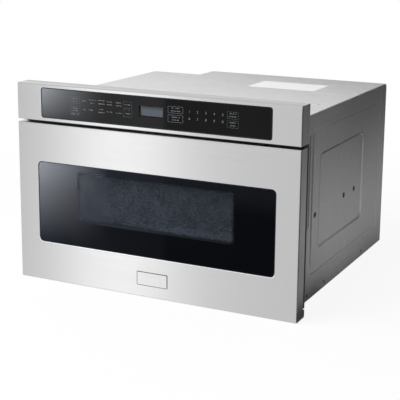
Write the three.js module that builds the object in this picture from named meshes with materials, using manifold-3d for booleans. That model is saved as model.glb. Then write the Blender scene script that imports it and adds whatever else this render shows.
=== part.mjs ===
// A built-in microwave oven drawer: a steel cabinet with a fixed oven cavity, and a drawer that a
// rack and pinion drives out of it on telescopic slides.
// Millimetres. x runs across, y runs back from the front face, z runs up from the feet.
// The overall size is worked out from the oven cavity outwards: 606.4 wide, 594 deep, 403 high.

import * as THREE from 'three';
import { mergeVertices } from 'three/addons/utils/BufferGeometryUtils.js';
import Module from 'manifold-3d';

const wasm = await Module();
wasm.setup();

// ---- Driving dimensions: clearances and sheet ----
const FIT = 0.3;                    // between pieces that seat on each other
const SHEET = 1.2;                  // folded steel of the cabinet
const SKIN = 1.2;                   // stainless skin of the front
const CAVITY_WALL = 1;              // steel of the oven cavity and the drawer bowl

// ---- Driving dimensions: oven drawer, from the inside outwards ----
const BOWL_WIDTH = 440;
const BOWL_DEPTH = 421;
const BOWL_HEIGHT = 181;            // above the glass tray
const BOWL_CORNER = 16;
const BOWL_GAP = 3;                 // all round the bowl in its cavity
const TRAY_THICKNESS = 4;
const TRAY_MARGIN = 3;
const COVER_GAP = 4;                // bowl rim to the stirrer cover
const STIRRER_SPACE = 16;           // stirrer cover to the cavity ceiling
const DRIVE_BAY = 24.8;             // cavity side to the rack, holds the flat gear motor
const RACK_WIDTH = 8;
const ARM_THICKNESS = 1.8;
const SLIDE_THICKNESS = 13;
const PANEL_RECESS = 1.2;           // inner panel of the side pressing, below the sheet's face
const PANEL_RISE = 1.5;             // raised field of the side pressing
const FRONT_OVERLAP = 27.3;         // the front is wider than the cabinet by this on each side
const FOOT_HEIGHT = 2.3;
const UNDER_BAY = 54.7;             // cabinet bottom to the cavity floor, holds the support rails
const TOP_BAY = 99.5;               // cavity ceiling to the cabinet top, holds the waveguide
const FRONT_RISE = 35.2;            // the front stands above the cabinet top by this
const REAR_BAY = 147.5;             // cavity back to the rear edge, holds the high-voltage parts

// ---- Driving dimensions: front ----
const GROUND_CLEARANCE = 1;
const FASCIA_HEIGHT = 73.4;
const FRONT_GAP = 5.1;              // control fascia to the drawer front
const RETURN_DEPTH = 29.5;          // side and top returns of the drawer front
const FASCIA_SILL_DEPTH = 20;
const EDGE_ROUND = 1.6;
const GLASS_THICKNESS = 4;
const GLASS_SET_BACK = 0.4;
const WINDOW_SIDE = 46.1;           // stainless border left and right of the window glass
const WINDOW_SILL = 81.7;           // height of the glass above the ground
const WINDOW_HEIGHT = 165.6;
const WINDOW_ROUND = 9;
const CONTROL_SIDE = 56.6;
const CONTROL_HEIGHT = 59.9;
const CONTROL_ROUND = 5;
const DISPLAY_WIDTH = 52;
const DISPLAY_HEIGHT = 19.6;
const DISPLAY_DEPTH = 9;
const DISPLAY_RISE = 1.5;           // display's middle above the control glass's middle
const HOUSING_MARGIN = 10;          // control housing past the control glass on each side
const HOUSING_WALL = 2.4;
const CONTROL_BOARD_MARGIN = 10;    // control glass's side to the control board
const CONTROL_BOARD_PARTS = [       // x, side, height above the board
  [-189.4, 22, 12],
  [-106.5, 16, 9],
  [-23.7, 30, 7],
  [59.2, 14, 12],
  [118.3, 26, 10],
  [201.2, 12, 12],
];
const SCREEN_WIDTH = 337;           // perforated field that shows through the glass
const SCREEN_SILL = 128.3;
const SCREEN_DROP = 18;             // bowl rim down to the top of the perforated field
const SCREEN_THICKNESS = 0.8;
const SCREEN_MARGIN = 12;
const DOOR_FRAME_DEPTH = 8;
const DOOR_FRAME_RIB = 7.2;
const DOOR_FRAME_COLUMNS = 6;       // pockets side by side, above and below the window
const DOOR_AIR_GAP = 7.4;           // screen to the choke plate
const CHOKE_DEPTH = 16;
const CHOKE_BAND = 20.5;            // width of the choke ring round the cavity mouth
const CHOKE_ROUND = 6;
const CHOKE_COVER = 1.1;
const CHOKE_CLEARANCE = 2;
const CHOKE_PLATE_BORDER = 14;      // choke plate's edge inside the drawer front
const SEAL_GAP = 0.4;               // drawer seal to the cavity flange, closed
const INNER_WINDOW_THICKNESS = 3;
const FRAME_THICKNESS = 2.7;
const FRAME_SILL = 20;              // mounting frame's lower edge above the ground
const BORDER_RISE = 0.3;            // the frame's border seats on the furniture, behind the plate
const FLANGE_OVERLAP = 2.5;

// ---- Driving dimensions: cabinet ----
const BEND_RADIUS = 2.5;
const REAR_ROLL = 9;                // rolled rear edge of the top
const NOTCH_WIDTH = 122.7;          // left rear corner left out for the wall outlet
const NOTCH_DEPTH = 79;
const SLIDE_LEVEL = 168.5;          // slide centre line above the ground
const SLIDE_HEIGHT = 46;
const SLIDE_LENGTH = 450;
const SLIDE_STEEL = 1.2;
const SLIDE_PLAY = 0.4;
const SLIDE_FRONT = 52;
const OUTER_LIP = 2.8;              // turned-in lips of the outer and middle members
const MIDDLE_LIP = 3.7;
const MIDDLE_STEP = 6;              // each member is shorter than the one round it by this at its ends
const INNER_LEAD = 4;               // the inner member starts in front of the outer by this
const TRAVEL = 380;
const FIELD_FRONT = 127;            // raised field of the side pressing
const FIELD_REAR_MARGIN = 68;
const FIELD_BOTTOM = 47;
const FIELD_TOP_MARGIN = 31;
const FIELD_ROUND = 10;
const PANEL_FRONT = 169;            // recessed panel inside it
const PANEL_REAR_MARGIN = 154;
const PANEL_BOTTOM = 93;
const PANEL_TOP_MARGIN = 82;
const PANEL_ROUND = 15;
const PRESS_SLOPE = 6;                // width of a pressing's sloping side
const STRIP_FRONT = 62;             // recessed strip behind the front
const STRIP_REAR = 123;
const STRIP_BOTTOM = 143;
const GROOVE_MARGIN = 40;           // groove near the rear edge
const GROOVE_WIDTH = 8;
const GROOVE_DEPTH = 1;
const GROOVE_ROUND = 1.5;
const GROOVE_SLOPE = 2;
const SIDE_HOLE = 9;
const SIDE_HOLE_PLACES = [148, 325, 390];
const TOP_BEAD_PLACE = 232;
const TOP_BEAD_WIDTH = 7;
const TOP_BEAD_RISE = 1;
const TOP_BEAD_MARGIN = 29;
const PAN_FLANGE = 20;
const FOOT_RADIUS = 16;
const FOOT_DRAFT = 2;
const FOOT_SIDE_MARGIN = 50;
const FOOT_PLACES = [76, 470];
const BACK_LIP = 16;
const VENT_LENGTH = 34;
const VENT_WIDTH = 5;
const VENT_PITCH = 12;
const VENT_COLUMNS = 10;
const PAN_VENT_COLUMNS = 8;

// ---- Driving dimensions: rack drive ----
const MODULE = 2;
const PINION_TEETH = 15;
const PRESSURE_ANGLE = 20 * Math.PI / 180;
const BACKLASH = 0.3;
const RACK_BACK = 8;                // rack bar above its teeth
const RACK_LEVEL = 152.5;           // pitch line above the ground
const RACK_START = 50;
const RACK_TAIL = 16;               // rack left behind the pinion when the drawer is out
const PINION_PLACE = 80;
const SHAFT_RADIUS = 3;
const SHAFT_PLAY = 0.3;
const MOTOR_RADIUS = 28;
const MOTOR_BEVEL = 2;
const MOTOR_EAR_REACH = 8;          // past the can
const MOTOR_EAR_WIDTH = 14;
const MOTOR_TERMINAL_DEPTH = 8;
const MOTOR_TERMINAL_WIDTH = 18;
const MOTOR_TERMINAL_REACH = 7;     // past the can
const MOTOR_TERMINAL_HEIGHT = 11;
const BRACKET_THICKNESS = 2;
const BRACKET_MARGIN = 12;          // past the motor's can
const ARM_HEIGHT = 30;
const LEFT_ARM_LENGTH = 110;
const ARM_FOOT = 22;
const INTERLOCK_MARGIN = 25;        // cavity's side to an interlock
const INTERLOCK_DROP = 17;
const TONGUE_WIDTH = 4;
const TONGUE_HEIGHT = 12;
const TONGUE_REACH = 75;
const TONGUE_CLEARANCE = 1.5;
const SWITCH_WALL = 5;
const SWITCH_LENGTH = 45;
const SWITCH_TERMINAL_PLACE = 14;   // in front of the switch's rear end

// ---- Driving dimensions: microwave and cooling parts ----
const RAIL_MARGIN = 75;             // cavity's side to a support rail's middle
const RAIL_WIDTH = 30;
const RAIL_STEEL = 1.6;
const RAIL_START = 70;
const RAIL_END_MARGIN = 20;
const STIRRER_PLACE = 245;
const STIRRER_RADIUS = 74;
const STIRRER_BLADES = 4;
const STIRRER_HUB = 10;
const STIRRER_BLADE_WIDTH = 29.6;
const STIRRER_BLADE_STEEL = 1.2;
const STIRRER_UNDER_GAP = 2;        // cover to the rotor
const STIRRER_OVER_GAP = 3;         // rotor to the cavity ceiling
const COVER_WIDTH = 176;
const COVER_STEEL = 1.5;
const FEED_WIDTH = 76;
const FEED_DEPTH = 90;
const GUIDE_WIDTH = 84;
const GUIDE_HEIGHT = 40;
const GUIDE_WALL = 1.2;
const GUIDE_START = 195;
const GUIDE_FLANGE = 12;
const STIRRER_MOTOR_RADIUS = 25;
const STIRRER_MOTOR_HEIGHT = 18;
const STIRRER_EAR_REACH = 8;
const STIRRER_EAR_WIDTH = 12;
const MAGNETRON_PLACE = 82;         // behind the cavity back
const YOKE_WIDTH = 94;
const YOKE_DEPTH = 80;
const YOKE_HEIGHT = 78;
const YOKE_STEEL = 2;
const ANODE_RADIUS = 18;
const MAGNET_RADIUS = 27;
const MAGNET_HEIGHT = 11;
const FIN_COUNT = 7;
const FIN_THICKNESS = 0.8;
const ANTENNA_RADIUS = 7;
const ANTENNA_HEIGHT = 22;
const ANTENNA_BEVEL = 2;
const FILTER_HEIGHT = 30;
const FILTER_SOCKET_REACH = 12;
const FILTER_SOCKET_WIDTH = 20;
const FILTER_SOCKET_MARGIN = 7;     // above and below the socket on the filter box
const POWER_SIDE_MARGIN = 107.9;    // cabinet's right side to the transformer and the fan
const TRANSFORMER_PLACE = 84;
const CORE_WIDTH = 104;
const CORE_HEIGHT = 86;
const CORE_STACK = 58;
const CORE_LEG = 17;
const COIL_BUILD = 15;
const COIL_SPACE = 1;
const CORE_FOOT = 3;
const CORE_FOOT_SIDE = 8;           // foot past the core, across and along the stack
const CORE_FOOT_END = 6;
const CAPACITOR_SPACING = 96;       // transformer to the capacitor
const CAPACITOR_PLACE = 45;
const CAN_WIDTH = 52;
const CAN_DEPTH = 34;
const CAN_HEIGHT = 96;
const TERMINAL_WIDTH = 8;
const TERMINAL_THICKNESS = 2;
const TERMINAL_HEIGHT = 10;
const TERMINAL_PLACE = 10.4;        // each side of the can's middle
const STRAP_HEIGHT = 18;
const STRAP_LEVEL = 32;             // above the can's underside
const STRAP_STEEL = 1.5;
const FAN_LEVEL = 205;
const FAN_RADIUS = 56;
const FAN_TIP_GAP = 3;
const FAN_BLADES = 7;
const FAN_DEPTH = 22;
const FAN_HUB = 18;
const FAN_HUB_BEVEL = 3;
const FAN_SET_IN = 4;               // fan in front of the shroud's rear face
const BLADE_THICKNESS = 1.6;
const BLADE_ROOT_CHORD = 9;
const BLADE_TIP_CHORD = 20;
const BLADE_ROOT_TILT = 0.95;       // radians from the fan's plane
const BLADE_TIP_TILT = 0.52;
const SHROUD_SIZE = 132;
const SHROUD_WALL = 1.8;
const SHROUD_DEPTH = 34;
const SPIDER_GAP = 2;               // spider to the fan
const SPIDER_ARMS = 3;
const SPIDER_ARM_WIDTH = 10;
const FAN_MOTOR_SIZE = 60;
const FAN_MOTOR_STACK = 18;
const FAN_MOTOR_BOSS = 20;          // radius of the bearing caps and of their seat
const FAN_MOTOR_CAP = 6;            // bearing caps before and behind the stack
const FAN_COIL_WIDTH = 42;
const FAN_COIL_HEIGHT = 22;
const FAN_COIL_DROP = 4;            // below the stack
const FAN_COIL_FRONT = 10;          // before and behind the stack
const FAN_COIL_BACK = 5;
const BOARD_THICKNESS = 1.6;
const FILTER_BOARD_MARGIN = 61.2;   // left-out corner to the filter board's middle
const FILTER_BOARD_PLACE = 60;
const FILTER_BOARD_WIDTH = 92;
const FILTER_BOARD_DEPTH = 74;
const STANDOFF_HEIGHT = 8;
const STANDOFF_RADIUS = 3;
const STANDOFF_MARGIN = 5;          // board's edge to a standoff's middle
const CHOKE_COIL_PLACE = 20;        // from the filter board's middle
const CHOKE_COIL_BORE = 7;
const CHOKE_COIL_RADIUS = 15;
const CHOKE_COIL_HEIGHT = 14;
const FILTER_BOARD_PARTS = [        // x, y from the board's middle, width, depth, height: capacitor, fuse
  [-23, -14, 26, 12, 18],
  [-20, 16, 28, 8, 8],
];
const LAMP_MARGIN = 90;             // cavity's left side to the lamp
const LAMP_PLACE = 380;
const LAMP_RADIUS = 14;
const LAMP_HEIGHT = 30;
const LAMP_TAPER = [4, 6];          // in and down, at the lamp housing's top
const LAMP_FLANGE = [6, 2];         // reach and thickness
const CUTOUT_MARGIN = 115;          // cavity's right side to the thermal cut-out
const CUTOUT_PLACE = 150;
const CUTOUT_BODY = [8, 7];         // radius and height
const CUTOUT_CAP = [5, 3];
const CUTOUT_EARS = [26, 8, 1];     // width, depth and thickness
const GLAND_LEVEL = 60;
const GLAND_RADIUS = 9.5;
const GLAND_BORE = 5;
const GLAND_LIP = 3.2;
const GLAND_HEAD = 2.4;             // outer head, in front of the panel
const GLAND_NUT = 3.6;              // inner head, behind the panel

// ---- Worked-out sizes: across ----
const BOWL_OUTER = BOWL_WIDTH / 2 + CAVITY_WALL;
const CAVITY_INNER = BOWL_OUTER + BOWL_GAP;
const CAVITY_OUTER = CAVITY_INNER + CAVITY_WALL;
const RACK_INNER = CAVITY_OUTER + DRIVE_BAY;
const RACK_OUTER = RACK_INNER + RACK_WIDTH;
const ARM_INNER = RACK_OUTER + FIT;
const ARM_OUTER = ARM_INNER + ARM_THICKNESS;
const SLIDE_INNER = ARM_OUTER + FIT;
const SLIDE_SEAT = SLIDE_INNER + SLIDE_THICKNESS;
const PANEL_FACE = SLIDE_SEAT + FIT + SHEET;
const CABINET_HALF = PANEL_FACE + PANEL_RECESS;
const FRONT_HALF = CABINET_HALF + FRONT_OVERLAP;
const WINDOW_HALF = FRONT_HALF - WINDOW_SIDE;
const CONTROL_HALF = FRONT_HALF - CONTROL_SIDE;
const CHOKE_HALF = CAVITY_INNER + CHOKE_BAND;
const OPENING_HALF = CHOKE_HALF + CHOKE_CLEARANCE;
const FLANGE_HALF = OPENING_HALF + FLANGE_OVERLAP;
const INTERLOCK_PLACE = CAVITY_OUTER - INTERLOCK_MARGIN;
const RAIL_PLACE = CAVITY_OUTER - RAIL_MARGIN;
const LAMP_X = LAMP_MARGIN - CAVITY_OUTER;
const CUTOUT_X = CAVITY_OUTER - CUTOUT_MARGIN;
const TRANSFORMER_X = CABINET_HALF - POWER_SIDE_MARGIN;
const FAN_X = CABINET_HALF - POWER_SIDE_MARGIN;
const CAPACITOR_X = TRANSFORMER_X - CAPACITOR_SPACING;
const NOTCH_SIDE = NOTCH_WIDTH - CABINET_HALF;
const FILTER_BOARD_X = NOTCH_SIDE + FILTER_BOARD_MARGIN;

// ---- Worked-out sizes: up ----
const CABINET_BOTTOM = FOOT_HEIGHT;
const PAN_TOP = CABINET_BOTTOM + SHEET;
const CAVITY_FLOOR_UNDER = CABINET_BOTTOM + UNDER_BAY;
const CAVITY_FLOOR = CAVITY_FLOOR_UNDER + CAVITY_WALL;
const BOWL_UNDER = CAVITY_FLOOR + BOWL_GAP;
const BOWL_FLOOR = BOWL_UNDER + CAVITY_WALL;
const TRAY_TOP = BOWL_FLOOR + FIT + TRAY_THICKNESS;
const BOWL_RIM = TRAY_TOP + BOWL_HEIGHT;
const SCREEN_HEIGHT = BOWL_RIM - SCREEN_DROP - SCREEN_SILL;
const COVER_UNDER = BOWL_RIM + COVER_GAP;
const CAVITY_CEILING = COVER_UNDER + STIRRER_SPACE;
const CAVITY_TOP = CAVITY_CEILING + CAVITY_WALL;
const CABINET_TOP = CAVITY_TOP + TOP_BAY;
const TOTAL_HEIGHT = CABINET_TOP + FRONT_RISE;
const FASCIA_BOTTOM = TOTAL_HEIGHT - FASCIA_HEIGHT;
const FASCIA_MIDDLE = TOTAL_HEIGHT - FASCIA_HEIGHT / 2;
const DISPLAY_MIDDLE = FASCIA_MIDDLE + DISPLAY_RISE;
const DRAWER_TOP = FASCIA_BOTTOM - FRONT_GAP;
const CHOKE_BOTTOM = CAVITY_FLOOR - CHOKE_BAND;
const CHOKE_TOP = CAVITY_CEILING + CHOKE_BAND;
const OPENING_BOTTOM = CHOKE_BOTTOM - CHOKE_CLEARANCE;
const OPENING_TOP = CHOKE_TOP + CHOKE_CLEARANCE;
const FLANGE_BOTTOM = OPENING_BOTTOM - FLANGE_OVERLAP;
const FLANGE_TOP = OPENING_TOP + FLANGE_OVERLAP;
const TONGUE_LEVEL = DRAWER_TOP - INTERLOCK_DROP;
const GUIDE_UNDER = CAVITY_TOP + FIT;
const GUIDE_TOP = GUIDE_UNDER + GUIDE_HEIGHT;

// ---- Worked-out sizes: back from the front face ----
const DOOR_FRAME_FRONT = SKIN + FIT;
const DOOR_FRAME_BACK = DOOR_FRAME_FRONT + DOOR_FRAME_DEPTH;
const SCREEN_FRONT = DOOR_FRAME_BACK + FIT;
const SCREEN_BACK = SCREEN_FRONT + SCREEN_THICKNESS;
const CHOKE_PLATE_FRONT = SCREEN_BACK + DOOR_AIR_GAP;
const CHOKE_PLATE_BACK = CHOKE_PLATE_FRONT + SHEET;
const CHOKE_RIM = CHOKE_PLATE_BACK + CHOKE_DEPTH;
const SEAL_BACK = CHOKE_RIM + FIT + CHOKE_COVER;
const FLANGE_FRONT = SEAL_BACK + SEAL_GAP;
const FLANGE_BACK = FLANGE_FRONT + CAVITY_WALL;
const FRAME_BACK = FLANGE_FRONT - FIT;
const FRAME_FRONT = FRAME_BACK - FRAME_THICKNESS;
const BOWL_FRONT = CHOKE_PLATE_BACK + FIT;
const BOWL_INSIDE = BOWL_FRONT + CAVITY_WALL;
const BOWL_END = BOWL_INSIDE + BOWL_DEPTH;
const BOWL_BACK = BOWL_END + CAVITY_WALL;
const CAVITY_END = BOWL_BACK + BOWL_GAP;
const CAVITY_BACK = CAVITY_END + CAVITY_WALL;
const TOTAL_DEPTH = CAVITY_BACK + REAR_BAY;
const WRAP_FRONT = FLANGE_FRONT;
const NOTCH_FRONT = TOTAL_DEPTH - NOTCH_DEPTH;
const PANEL_SET_IN = SHEET + FIT;
const BACK_FACE = TOTAL_DEPTH - PANEL_SET_IN;
const BACK_INSIDE = BACK_FACE - SHEET;
const GLASS_FRONT = GLASS_SET_BACK;
const GLASS_BACK = GLASS_FRONT + GLASS_THICKNESS;
const HOUSING_POCKET = GLASS_BACK + FIT;
const HOUSING_BACK = FRAME_FRONT - FIT;
const SLIDE_END = SLIDE_FRONT + SLIDE_LENGTH;
const MAGNETRON_Y = CAVITY_BACK + MAGNETRON_PLACE;
const TRANSFORMER_Y = CAVITY_BACK + TRANSFORMER_PLACE;
const CAPACITOR_Y = CAVITY_BACK + CAPACITOR_PLACE;
const FILTER_BOARD_Y = CAVITY_BACK + FILTER_BOARD_PLACE;

// ---- Worked-out sizes: drive and slides ----
const PITCH = Math.PI * MODULE;
const PINION_RADIUS = MODULE * PINION_TEETH / 2;
const PINION_LEVEL = RACK_LEVEL - PINION_RADIUS;
const TOOTH_ROOT = 1.25 * MODULE;
const RACK_END = PINION_PLACE + TRAVEL + RACK_TAIL;
const MOTOR_INNER = CAVITY_OUTER + FIT + BRACKET_THICKNESS + FIT;
const MOTOR_OUTER = RACK_INNER - SHAFT_RADIUS - FIT;
const OUTER_HALF = SLIDE_HEIGHT / 2;
const MIDDLE_HALF = OUTER_HALF - SLIDE_STEEL - SLIDE_PLAY;
const INNER_HALF = MIDDLE_HALF - SLIDE_STEEL - SLIDE_PLAY;
const MIDDLE_NEAR = SLIDE_STEEL + SLIDE_PLAY;
const MIDDLE_FAR = SLIDE_THICKNESS - SLIDE_STEEL - SLIDE_PLAY;

// ---- Worked-out sizes: microwave and cooling parts ----
const COVER_HALF = COVER_WIDTH / 2;
const YOKE_TOP = GUIDE_UNDER - FIT;
const YOKE_BOTTOM = YOKE_TOP - YOKE_HEIGHT;
const CORE_BASE = PAN_TOP + FIT + CORE_FOOT;
const COIL_HIGH = (CORE_HEIGHT - 2 * CORE_LEG - 3 * COIL_SPACE) / 2;
const SHROUD_BACK = BACK_INSIDE - FIT;
const FAN_BACK = SHROUD_BACK - FAN_SET_IN;
const FAN_FRONT = FAN_BACK - FAN_DEPTH;
const SPIDER_BACK = FAN_FRONT - SPIDER_GAP;
const SPIDER_FRONT = SPIDER_BACK - SHROUD_WALL;
const FAN_MOTOR_BACK = SPIDER_FRONT - FIT;
const FAN_AT = [FAN_X, 0, FAN_LEVEL];
const GLAND_X = (NOTCH_SIDE - CABINET_HALF) / 2;

const ARC_STEPS = 3;
const ROUND_STEPS = 20;
const SMALL_STEPS = 12;             // on holes, shafts and small round parts
const LARGE_STEPS = 28;
const OVERSHOOT = 2;                // a cut runs past the face that it opens
const MERGE = 1e-4;                 // corners closer than this are one corner

// ---- Finishes ----
const finish = (color, roughness, metalness, more = {}) =>
  new THREE.MeshStandardMaterial({ color, roughness, metalness, flatShading: true, ...more });
const STAINLESS = finish(0xc9c9c7, 0.34, 1);
const GALVANISED = finish(0xb4b6b8, 0.48, 1);
const BLACK_GLASS = finish(0x0d0f13, 0.06, 0);
const DISPLAY_GREY = finish(0x66707c, 0.2, 0);
const SCREEN_METAL = finish(0x2f343d, 0.5, 0.6);
const CAVITY_STEEL = finish(0xa9acad, 0.4, 1);
const BLACK_PLASTIC = finish(0x1d1e20, 0.55, 0);
const WHITE_PLASTIC = finish(0xdad8d0, 0.5, 0);
const CERAMIC_GLASS = finish(0xe9e7e0, 0.12, 0);
const CLEAR_GLASS = finish(0xdfe8e6, 0.04, 0, { transparent: true, opacity: 0.4 });
const ZINC_STEEL = finish(0xbfc2c4, 0.38, 1);
const ALUMINIUM = finish(0xcdd0d2, 0.35, 1);
const LAMINATION = finish(0x5a5c60, 0.6, 0.7);
const COPPER = finish(0xa8592c, 0.4, 0.9);
const BOARD_GREEN = finish(0x1f5a3a, 0.5, 0);
const MICA = finish(0xc9b38a, 0.6, 0);
const NYLON = finish(0xe6e2d6, 0.5, 0);

// ---- Shape helpers ----

// Axis orders that turn an extrusion drawn in its own plane to the model's axes
const TO_X = new THREE.Matrix4().set(0, 0, 1, 0, 1, 0, 0, 0, 0, 1, 0, 0, 0, 0, 0, 1);
const TO_Y = new THREE.Matrix4().set(1, 0, 0, 0, 0, 0, -1, 0, 0, 1, 0, 0, 0, 0, 0, 1);

// A closed mesh as a solid for joining and cutting
function solidOf(geometry) {
  geometry.deleteAttribute('normal');
  geometry.deleteAttribute('uv');
  const merged = mergeVertices(geometry, MERGE);
  const corners = merged.index.array;
  const triangles = [];
  for (let i = 0; i < corners.length; i += 3) {
    const [a, b, c] = corners.slice(i, i + 3);
    if (a !== b && b !== c && c !== a) triangles.push(a, b, c);
  }
  const vertProperties = new Float32Array(merged.attributes.position.array);
  const triVerts = new Uint32Array(triangles);
  return new wasm.Manifold(new wasm.Mesh({ numProp: 3, vertProperties, triVerts }));
}

const joined = (...solids) => solids.reduce((whole, next) => whole.add(next));

// A rectangular block between two limits on each axis, given in any order
function block(xs, ys, zs) {
  const size = [xs, ys, zs].map(([a, b]) => Math.abs(b - a));
  const middle = [xs, ys, zs].map(([a, b]) => (a + b) / 2);
  const geometry = new THREE.BoxGeometry(...size);
  geometry.translate(...middle);
  return solidOf(geometry);
}

// An outline pushed along an axis: drawn in (y, z) along x, in (x, z) along y, in (x, y) along z
function prism(shape, axis, from, to, curveSegments = ARC_STEPS) {
  const depth = Math.abs(to - from);
  const start = Math.min(from, to);
  const geometry = new THREE.ExtrudeGeometry(shape, { depth, bevelEnabled: false, curveSegments });
  geometry.translate(0, 0, axis === 'y' ? -start - depth : start);
  if (axis === 'x') geometry.applyMatrix4(TO_X);
  if (axis === 'y') geometry.applyMatrix4(TO_Y);
  return solidOf(geometry);
}

// A profile of [radius, height] turned round an axis through a point
function turned(profile, axis, [x, y, z], steps = ROUND_STEPS) {
  const points = profile.map(([radius, height]) => new THREE.Vector2(radius, height));
  const geometry = new THREE.LatheGeometry(points, steps);
  if (axis === 'z') geometry.rotateX(Math.PI / 2);
  if (axis === 'x') geometry.rotateZ(-Math.PI / 2);
  geometry.translate(x, y, z);
  return solidOf(geometry);
}

const rod = (radius, from, to) => [[0, from], [radius, from], [radius, to], [0, to]];

const tube = (bore, radius, from, to) =>
  [[bore, from], [radius, from], [radius, to], [bore, to], [bore, from]];

function polygon(points) {
  return new THREE.Shape(points.map(([a, b]) => new THREE.Vector2(a, b)));
}

function rounded([a0, a1], [b0, b1], radius) {
  const quarter = Math.PI / 2;
  const shape = new THREE.Shape();
  shape.absarc(a1 - radius, b0 + radius, radius, -quarter, 0);
  shape.absarc(a1 - radius, b1 - radius, radius, 0, quarter);
  shape.absarc(a0 + radius, b1 - radius, radius, quarter, 2 * quarter);
  shape.absarc(a0 + radius, b0 + radius, radius, 2 * quarter, 3 * quarter);
  return shape;
}

// Rings of equal point counts skinned into a closed solid; each ring is convex
function loft(rings) {
  const count = rings[0].length;
  const last = (rings.length - 1) * count;
  const index = [];
  for (let start = 0; start < last; start += count) {
    for (let i = 0; i < count; i += 1) {
      const next = (i + 1) % count;
      index.push(start + i, start + next, start + count + next);
      index.push(start + i, start + count + next, start + count + i);
    }
  }
  for (let i = 1; i < count - 1; i += 1) {
    index.push(0, i + 1, i);
    index.push(last, last + i, last + i + 1);
  }
  const geometry = new THREE.BufferGeometry().setFromPoints(rings.flat());
  geometry.setIndex(index);
  return solidOf(geometry);
}

// A pressing with sloping sides: a rounded rectangle in (y, z), wide at x = wideAt, drawn in by
// the slope at x = narrowAt
function pressing([ys, zs], radius, wideAt, narrowAt, slope = PRESS_SLOPE) {
  const ring = (x, drawIn) => {
    const shape = rounded([ys[0] + drawIn, ys[1] - drawIn], [zs[0] + drawIn, zs[1] - drawIn], radius);
    return shape.getPoints(ARC_STEPS).slice(0, -1).map((p) => new THREE.Vector3(x, p.x, p.y));
  };
  const rings = [ring(wideAt, 0), ring(narrowAt, slope)];
  return loft(narrowAt > wideAt ? rings : rings.map((points) => points.reverse()));
}

function mirrored(solid) {
  const mesh = solid.getMesh();
  const width = mesh.numProp;
  const vertProperties = mesh.vertProperties.map((value, i) => (i % width === 0 ? -value : value));
  const triVerts = mesh.triVerts.slice().reverse();
  return new wasm.Manifold(new wasm.Mesh({ numProp: width, vertProperties, triVerts }));
}

const drawer = new THREE.Group();

function piece(name, solid, material) {
  const { vertProperties, triVerts } = solid.getMesh();
  const geometry = new THREE.BufferGeometry();
  geometry.setAttribute('position', new THREE.BufferAttribute(vertProperties, 3));
  geometry.setIndex(new THREE.BufferAttribute(triVerts, 1));
  geometry.computeVertexNormals();
  const mesh = new THREE.Mesh(geometry, material.clone());
  mesh.name = name;
  drawer.add(mesh);
}

// The same piece on both sides, made for the right and mirrored to the left
function pair(name, solid, material) {
  piece(`right_${name}`, solid, material);
  piece(`left_${name}`, mirrored(solid), material);
}

// ---- Cabinet ----

// Plan of the cabinet with its rear left corner left out, drawn in by an inset
function cabinetPlan(inset, front, rear = TOTAL_DEPTH - inset) {
  return polygon([
    [inset - CABINET_HALF, front],
    [CABINET_HALF - inset, front],
    [CABINET_HALF - inset, rear],
    [NOTCH_SIDE + inset, rear],
    [NOTCH_SIDE + inset, NOTCH_FRONT - inset],
    [inset - CABINET_HALF, NOTCH_FRONT - inset],
  ]);
}

// Section across the cabinet, an upturned U with bent top edges
function wrapSection(inset, bottom) {
  const half = CABINET_HALF - inset;
  const radius = BEND_RADIUS + SHEET - inset;
  const top = CABINET_TOP - inset;
  const shape = new THREE.Shape();
  shape.moveTo(-half, bottom);
  shape.lineTo(half, bottom);
  shape.absarc(half - radius, top - radius, radius, 0, Math.PI / 2);
  shape.absarc(radius - half, top - radius, radius, Math.PI / 2, Math.PI);
  return shape;
}

// Section along the cabinet with the rolled rear edge
function rollSection(inset, front, bottom) {
  const radius = REAR_ROLL - inset;
  const rear = TOTAL_DEPTH - inset;
  const shape = new THREE.Shape();
  shape.moveTo(front, bottom);
  shape.lineTo(rear, bottom);
  shape.absarc(rear - radius, CABINET_TOP - inset - radius, radius, 0, Math.PI / 2);
  shape.lineTo(front, CABINET_TOP - inset);
  return shape;
}

// The room inside the wrap, drawn in by an inset, between two heights
function cabinetRoom(inset, front, bottom) {
  const reach = FRONT_HALF;
  return prism(cabinetPlan(inset, front), 'z', bottom, CABINET_TOP - inset)
    .intersect(prism(wrapSection(inset, bottom - OVERSHOOT), 'y', front - OVERSHOOT, TOTAL_DEPTH))
    .intersect(prism(rollSection(inset, front - OVERSHOOT, bottom - OVERSHOOT), 'x', -reach, reach));
}

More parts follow.
